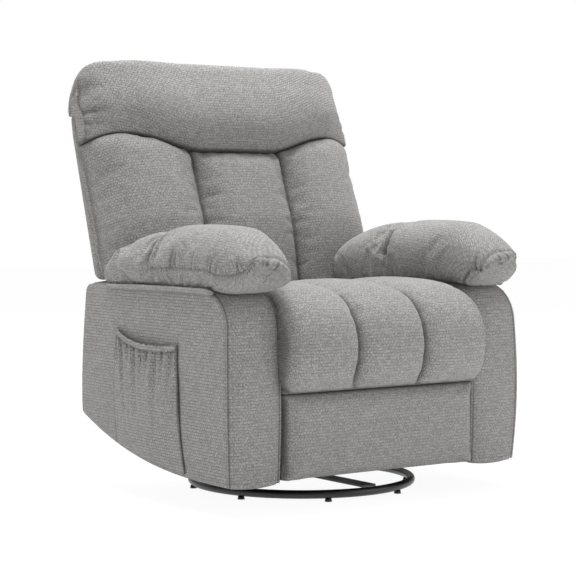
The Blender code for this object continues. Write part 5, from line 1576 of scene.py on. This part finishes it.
def make_flap():
    """Cloth that hangs from the outer back between the arms."""
    low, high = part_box("rear_flap")
    half, top, foot = high[0], high[2], low[2]
    columns, rows, thick = 60, 24, 0.0022
    gap, wave_depth, hem_swell = 0.0026, 0.0016, 0.0008
    share = np.linspace(-1.0, 1.0, columns + 1)[None]
    down = np.linspace(0.0, 1.0, rows + 1)[:, None]
    hem = bell(down - 0.95, 0.04)
    y = high[1] - AXIS_Y - gap - wave_depth * np.sin(share * 11.0 + 0.8) * down + hem_swell * hem
    x, y, z = np.broadcast_arrays(half * share, y, top - (top - foot) * down)
    grids = [np.stack([x, y + shift, z], -1) for shift in (thick / 2, -thick / 2)]
    piece = layered("rear_flap_cloth", grids, [0, 2])
    store_painted_shade(piece, np.zeros(2 * x.size))
    placed(piece, "backrest", "grey_weave", "rear_flap")
    line = grids[0][int(rows * 0.9)] + np.array((0.0, AXIS_Y + THREAD_LIFT, 0.0))
    sewn("rear_flap_stitching", [line], "backrest")


def ring_tube(name):
    """Round bent tube of the base."""
    tube, bends, sides = 0.010, 160, 20
    height = (extent("base_ring", 2, 0) + extent("base_ring", 2, 1)) / 2
    points, faces = [], []
    for i in range(bends):
        a, j = 2.0 * math.pi * i / bends, (i + 1) % bends
        for k in range(sides):
            s, m = 2.0 * math.pi * k / sides, (k + 1) % sides
            reach = RING_RADIUS + tube * math.cos(s)
            points.append((reach * math.cos(a), reach * math.sin(a) + AXIS_Y, height + tube * math.sin(s)))
            faces.append((i * sides + k, j * sides + k, j * sides + m, i * sides + m))
    mesh = bpy.data.meshes.new(name)
    mesh.from_pydata(points, [], faces)
    smoothed(mesh)
    mesh.materials.append(FINISHES["black_steel"])
    return linked(name, mesh)


def glide_tree():
    """Geometry nodes: one turned glide on each point."""
    tree, given, out = repeat_tree(
        "glides under the ring", "Places", ("Radius", "Height"), "Plastic", "Glides")
    body = add_node(
        tree, "GeometryNodeMeshCone",
        [("Vertices", 20), ("Side Segments", 2), ("Radius Bottom", given["Radius"]),
         ("Radius Top", maths(tree, "MULTIPLY", given["Radius"], 0.82)), ("Depth", given["Height"])])
    return repeated(tree, out, given["Plastic"], [
        ("Points", given["Places"]), ("Instance", body.outputs["Mesh"])])


def make_base():
    """Ring and glides of the base."""
    placed(ring_tube("base_ring_tube"), "base", "black_steel", "base_ring")
    turns = 2.0 * math.pi * (np.arange(GLIDES) + 0.5) / GLIDES
    places = [(RING_RADIUS * math.cos(t), RING_RADIUS * math.sin(t) + AXIS_Y, 0.0) for t in turns]
    glides = grown("base_glides", points_mesh(places), glide_tree(), {
        "Radius": 0.0085, "Height": 0.0075, "Plastic": FINISHES["black_plastic"]})
    feet = [f"base_foot_{number}" for number in range(1, GLIDES + 1)]
    placed(glides, "base", "black_plastic", *feet)


def spring_tree():
    """Geometry nodes: wire bent in a spiral, standing on each point."""
    tree, given, out = repeat_tree(
        "coil springs", "Place", ("Coil", "Rise", "Wire", "Turns"), "Metal", "Spring")
    spiral = add_node(
        tree, "GeometryNodeCurveSpiral",
        [("Resolution", 24), ("Rotations", given["Turns"]), ("Start Radius", given["Coil"]),
         ("End Radius", given["Coil"]), ("Height", given["Rise"])])
    section = add_node(
        tree, "GeometryNodeCurvePrimitiveCircle", [("Resolution", 10), ("Radius", given["Wire"])])
    wire = add_node(
        tree, "GeometryNodeCurveToMesh",
        [("Curve", spiral.outputs[0]), ("Profile Curve", section.outputs[0]), ("Fill Caps", True)])
    return repeated(tree, out, given["Metal"], [("Points", given["Place"]), ("Instance", wire.outputs[0])])


def make_springs():
    """Coil springs that carry the rocking seat, with their tops on the cradle."""
    tree = spring_tree()
    wire = 0.0032
    for place in ("front", "rear"):
        low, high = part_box("rock_spring_" + place)
        foot = (0.0, (low[1] + high[1]) / 2, low[2] + wire)
        spring = grown(f"coil_spring_{place}", points_mesh([foot]), tree, {
            "Coil": 0.024, "Rise": high[2] - low[2] - 2 * wire, "Wire": wire, "Turns": 5.0,
            "Metal": FINISHES["zinc_plate"]})
        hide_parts("rock_spring_" + place)
        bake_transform(spring)


def make_mechanism():
    """Finishes on the metal, wood and webbing that keep their solids' shapes."""
    for node in frame["nodes"].values():
        slot = node.data.materials[0].name.split(".")[0]
        if node.name == "footrest_board":
            slot = "dark_webbing"
        if slot in FINISHES:
            node.data.materials[0] = FINISHES[slot]


# Stage

WHITE = (1.0, 1.0, 1.0, 1.0)
SENSOR_MM = 36.0
FLOOR_Z = -0.0005
FLOOR_REACH = 14.0
LIT_PLACE = Vector((0.0, 0.0, 0.45))


def floor_material():
    """Pale floor that stays white to the camera and keeps a soft shadow."""
    material, tree, shader = new_material("pale floor")
    set_values(shader, {"Base Color": (0.92, 0.92, 0.92, 1.0), "Roughness": 0.9})
    rays = add_node(tree, "ShaderNodeLightPath").outputs
    seen = maths(tree, "MAXIMUM", rays["Is Camera Ray"], rays["Is Glossy Ray"])
    glow = add_node(tree, "ShaderNodeEmission", [("Color", WHITE), ("Strength", 1.07)])
    mixed = add_node(
        tree, "ShaderNodeMixShader",
        [(0, maths(tree, "MULTIPLY", seen, 0.88)), (1, shader.outputs[0]), (2, glow.outputs[0])])
    tree.links.new(mixed.outputs[0], tree.nodes["Material Output"].inputs["Surface"])
    return material


def make_floor():
    """Large pale floor."""
    mesh = bpy.data.meshes.new("floor")
    corners = ((-1, -1), (1, -1), (1, 1), (-1, 1))
    places = [(x * FLOOR_REACH, y * FLOOR_REACH, FLOOR_Z) for x, y in corners]
    mesh.from_pydata(places, [], [(0, 1, 2, 3)])
    mesh.materials.append(floor_material())
    linked("floor", mesh)


def make_room(ambient):
    """Even light from all sides, white to the camera."""
    world = bpy.data.worlds.new("even room")
    bpy.context.scene.world = world
    world.use_nodes = True
    tree = world.node_tree
    tree.nodes.clear()
    rays = add_node(tree, "ShaderNodeLightPath").outputs
    seen = maths(tree, "MAXIMUM", rays["Is Camera Ray"], rays["Is Transmission Ray"])
    room, white = (
        add_node(tree, "ShaderNodeBackground", [("Color", WHITE), ("Strength", strength)]).outputs[0]
        for strength in (ambient, 1.0))
    mixed = add_node(tree, "ShaderNodeMixShader", [(0, seen), (1, room), (2, white)])
    tree.links.new(mixed.outputs[0], add_node(tree, "ShaderNodeOutputWorld").inputs["Surface"])


def make_lights(key, fill):
    """Large key light overhead, with soft fills around."""
    for name, power, size, place in (
            ("key_light", key, 2.6, (0.1, 0.55, 4.8)),
            ("side_light", 0.25 * fill, 2.4, (-3.1, -0.6, 1.3)),
            ("fill_light", fill, 2.4, (2.0, -2.6, 1.2)),
            ("rear_light", fill, 2.4, (0.6, 2.9, 2.4))):
        lamp = bpy.data.lights.new(name, "AREA")
        lamp.energy, lamp.size = power, size
        light = linked(name, lamp)
        light.location = place
        light.rotation_mode = "QUATERNION"
        light.rotation_quaternion = (LIT_PLACE - Vector(place)).to_track_quat("-Z", "Y")


def make_camera(stage):
    """Camera at the photograph's angle."""
    lens = bpy.data.cameras.new("camera")
    lens.lens, lens.sensor_width = stage.lens, SENSOR_MM
    a, pitch = stage.azimuth, stage.pitch
    spot = Vector((math.sin(a) * stage.distance, -math.cos(a) * stage.distance, stage.height))
    heading = math.atan2(-spot.y, -spot.x) + stage.yaw
    level = math.cos(pitch)
    look = Vector((math.cos(heading) * level, math.sin(heading) * level, -math.sin(pitch)))
    right = look.cross(Vector((0.0, 0.0, 1.0))).normalized()
    turn = Matrix((right, right.cross(look), -look)).transposed().to_4x4()
    camera = linked("camera", lens)
    camera.matrix_world = Matrix.Translation(spot + Vector((0.0, AXIS_Y, 0.0))) @ turn
    bpy.context.scene.camera = camera


def make_stage():
    """White studio with a large key light, fills and an even room."""
    stage = settings("stage")
    bpy.context.scene.view_settings.view_transform = "Standard"
    make_floor()
    make_room(stage.ambient)
    make_lights(stage.key, stage.fill)
    make_camera(stage)


# Steps, panel and registration

class CHAIR_OT_stage(bpy.types.Operator):
    """Floor, lights, room and the camera at the photograph's angle"""

    bl_idname = "chair.stage"
    bl_label = "Studio stage"

    def execute(self, context):
        make_stage()
        return {"FINISHED"}


class CHAIR_OT_finishes(bpy.types.Operator):
    """Materials of the cloth, metal, wood and plastic"""

    bl_idname = "chair.finishes"
    bl_label = "Finishes"

    def execute(self, context):
        make_finishes()
        return {"FINISHED"}


class CHAIR_OT_base(bpy.types.Operator):
    """Ring tube and glides of the base"""

    bl_idname = "chair.base"
    bl_label = "Base"

    def execute(self, context):
        make_base()
        return {"FINISHED"}


class CHAIR_OT_springs(bpy.types.Operator):
    """Coil springs between turntable and cradle"""

    bl_idname = "chair.springs"
    bl_label = "Rocking springs"

    def execute(self, context):
        make_springs()
        return {"FINISHED"}


class CHAIR_OT_mechanism(bpy.types.Operator):
    """Finishes on the frame, the linkage and the release strap"""

    bl_idname = "chair.mechanism"
    bl_label = "Mechanism"

    def execute(self, context):
        make_mechanism()
        return {"FINISHED"}


class CHAIR_OT_seat(bpy.types.Operator):
    """Channelled seat cushion"""

    bl_idname = "chair.seat"
    bl_label = "Seat cushion"

    def execute(self, context):
        make_seat()
        return {"FINISHED"}


class CHAIR_OT_footrest(bpy.types.Operator):
    """Stuffed footrest panel"""

    bl_idname = "chair.footrest"
    bl_label = "Footrest panel"

    def execute(self, context):
        make_footrest()
        return {"FINISHED"}


class CHAIR_OT_arms(bpy.types.Operator):
    """Upholstered arms with twin-stitched seams"""

    bl_idname = "chair.arms"
    bl_label = "Arms"

    def execute(self, context):
        make_arms()
        return {"FINISHED"}


class CHAIR_OT_pads(bpy.types.Operator):
    """Stuffed arm pads with puckered seams"""

    bl_idname = "chair.pads"
    bl_label = "Arm pads"

    def execute(self, context):
        make_pads()
        return {"FINISHED"}


class CHAIR_OT_pocket(bpy.types.Operator):
    """Gathered side pocket"""

    bl_idname = "chair.pocket"
    bl_label = "Side pocket"

    def execute(self, context):
        make_pocket()
        return {"FINISHED"}


class CHAIR_OT_back(bpy.types.Operator):
    """Lower back cushion and head pillow"""

    bl_idname = "chair.back"
    bl_label = "Back cushions"

    def execute(self, context):
        make_back_cushion()
        make_pillow()
        return {"FINISHED"}


class CHAIR_OT_outer_back(bpy.types.Operator):
    """Outer back and the flap that hangs from it"""

    bl_idname = "chair.outer_back"
    bl_label = "Outer back"

    def execute(self, context):
        make_outer_back()
        make_flap()
        return {"FINISHED"}


STEPS = (
    CHAIR_OT_finishes, CHAIR_OT_stage, CHAIR_OT_base, CHAIR_OT_springs, CHAIR_OT_mechanism, CHAIR_OT_arms,
    CHAIR_OT_pads, CHAIR_OT_pocket, CHAIR_OT_seat, CHAIR_OT_footrest, CHAIR_OT_back, CHAIR_OT_outer_back,
)


class CHAIR_PT_recliner(bpy.types.Panel):
    """The chair's steps, in the order they are made"""

    bl_idname = "CHAIR_PT_recliner"
    bl_label = "Swivel rocking recliner"
    bl_space_type = "VIEW_3D"
    bl_region_type = "UI"
    bl_category = "Recliner"

    def draw(self, context):
        for step in STEPS:
            self.layout.operator(step.bl_idname)


GROUP_TYPES = {"chair_fabric": ChairFabric, "chair_form": ChairForm, "chair_stage": ChairStage}


def register():
    for kind in (*GROUP_TYPES.values(), *STEPS, CHAIR_PT_recliner):
        bpy.utils.register_class(kind)
    for name, kind in GROUP_TYPES.items():
        setattr(bpy.types.Scene, name, PointerProperty(type=kind))


def unregister():
    for name in GROUP_TYPES:
        delattr(bpy.types.Scene, name)
    for kind in (CHAIR_PT_recliner, *reversed(STEPS), *GROUP_TYPES.values()):
        bpy.utils.unregister_class(kind)


def main():
    register()
    for step in STEPS:
        space, name = step.bl_idname.split(".")
        getattr(getattr(bpy.ops, space), name)()


if __name__ == "__main__":
    main()
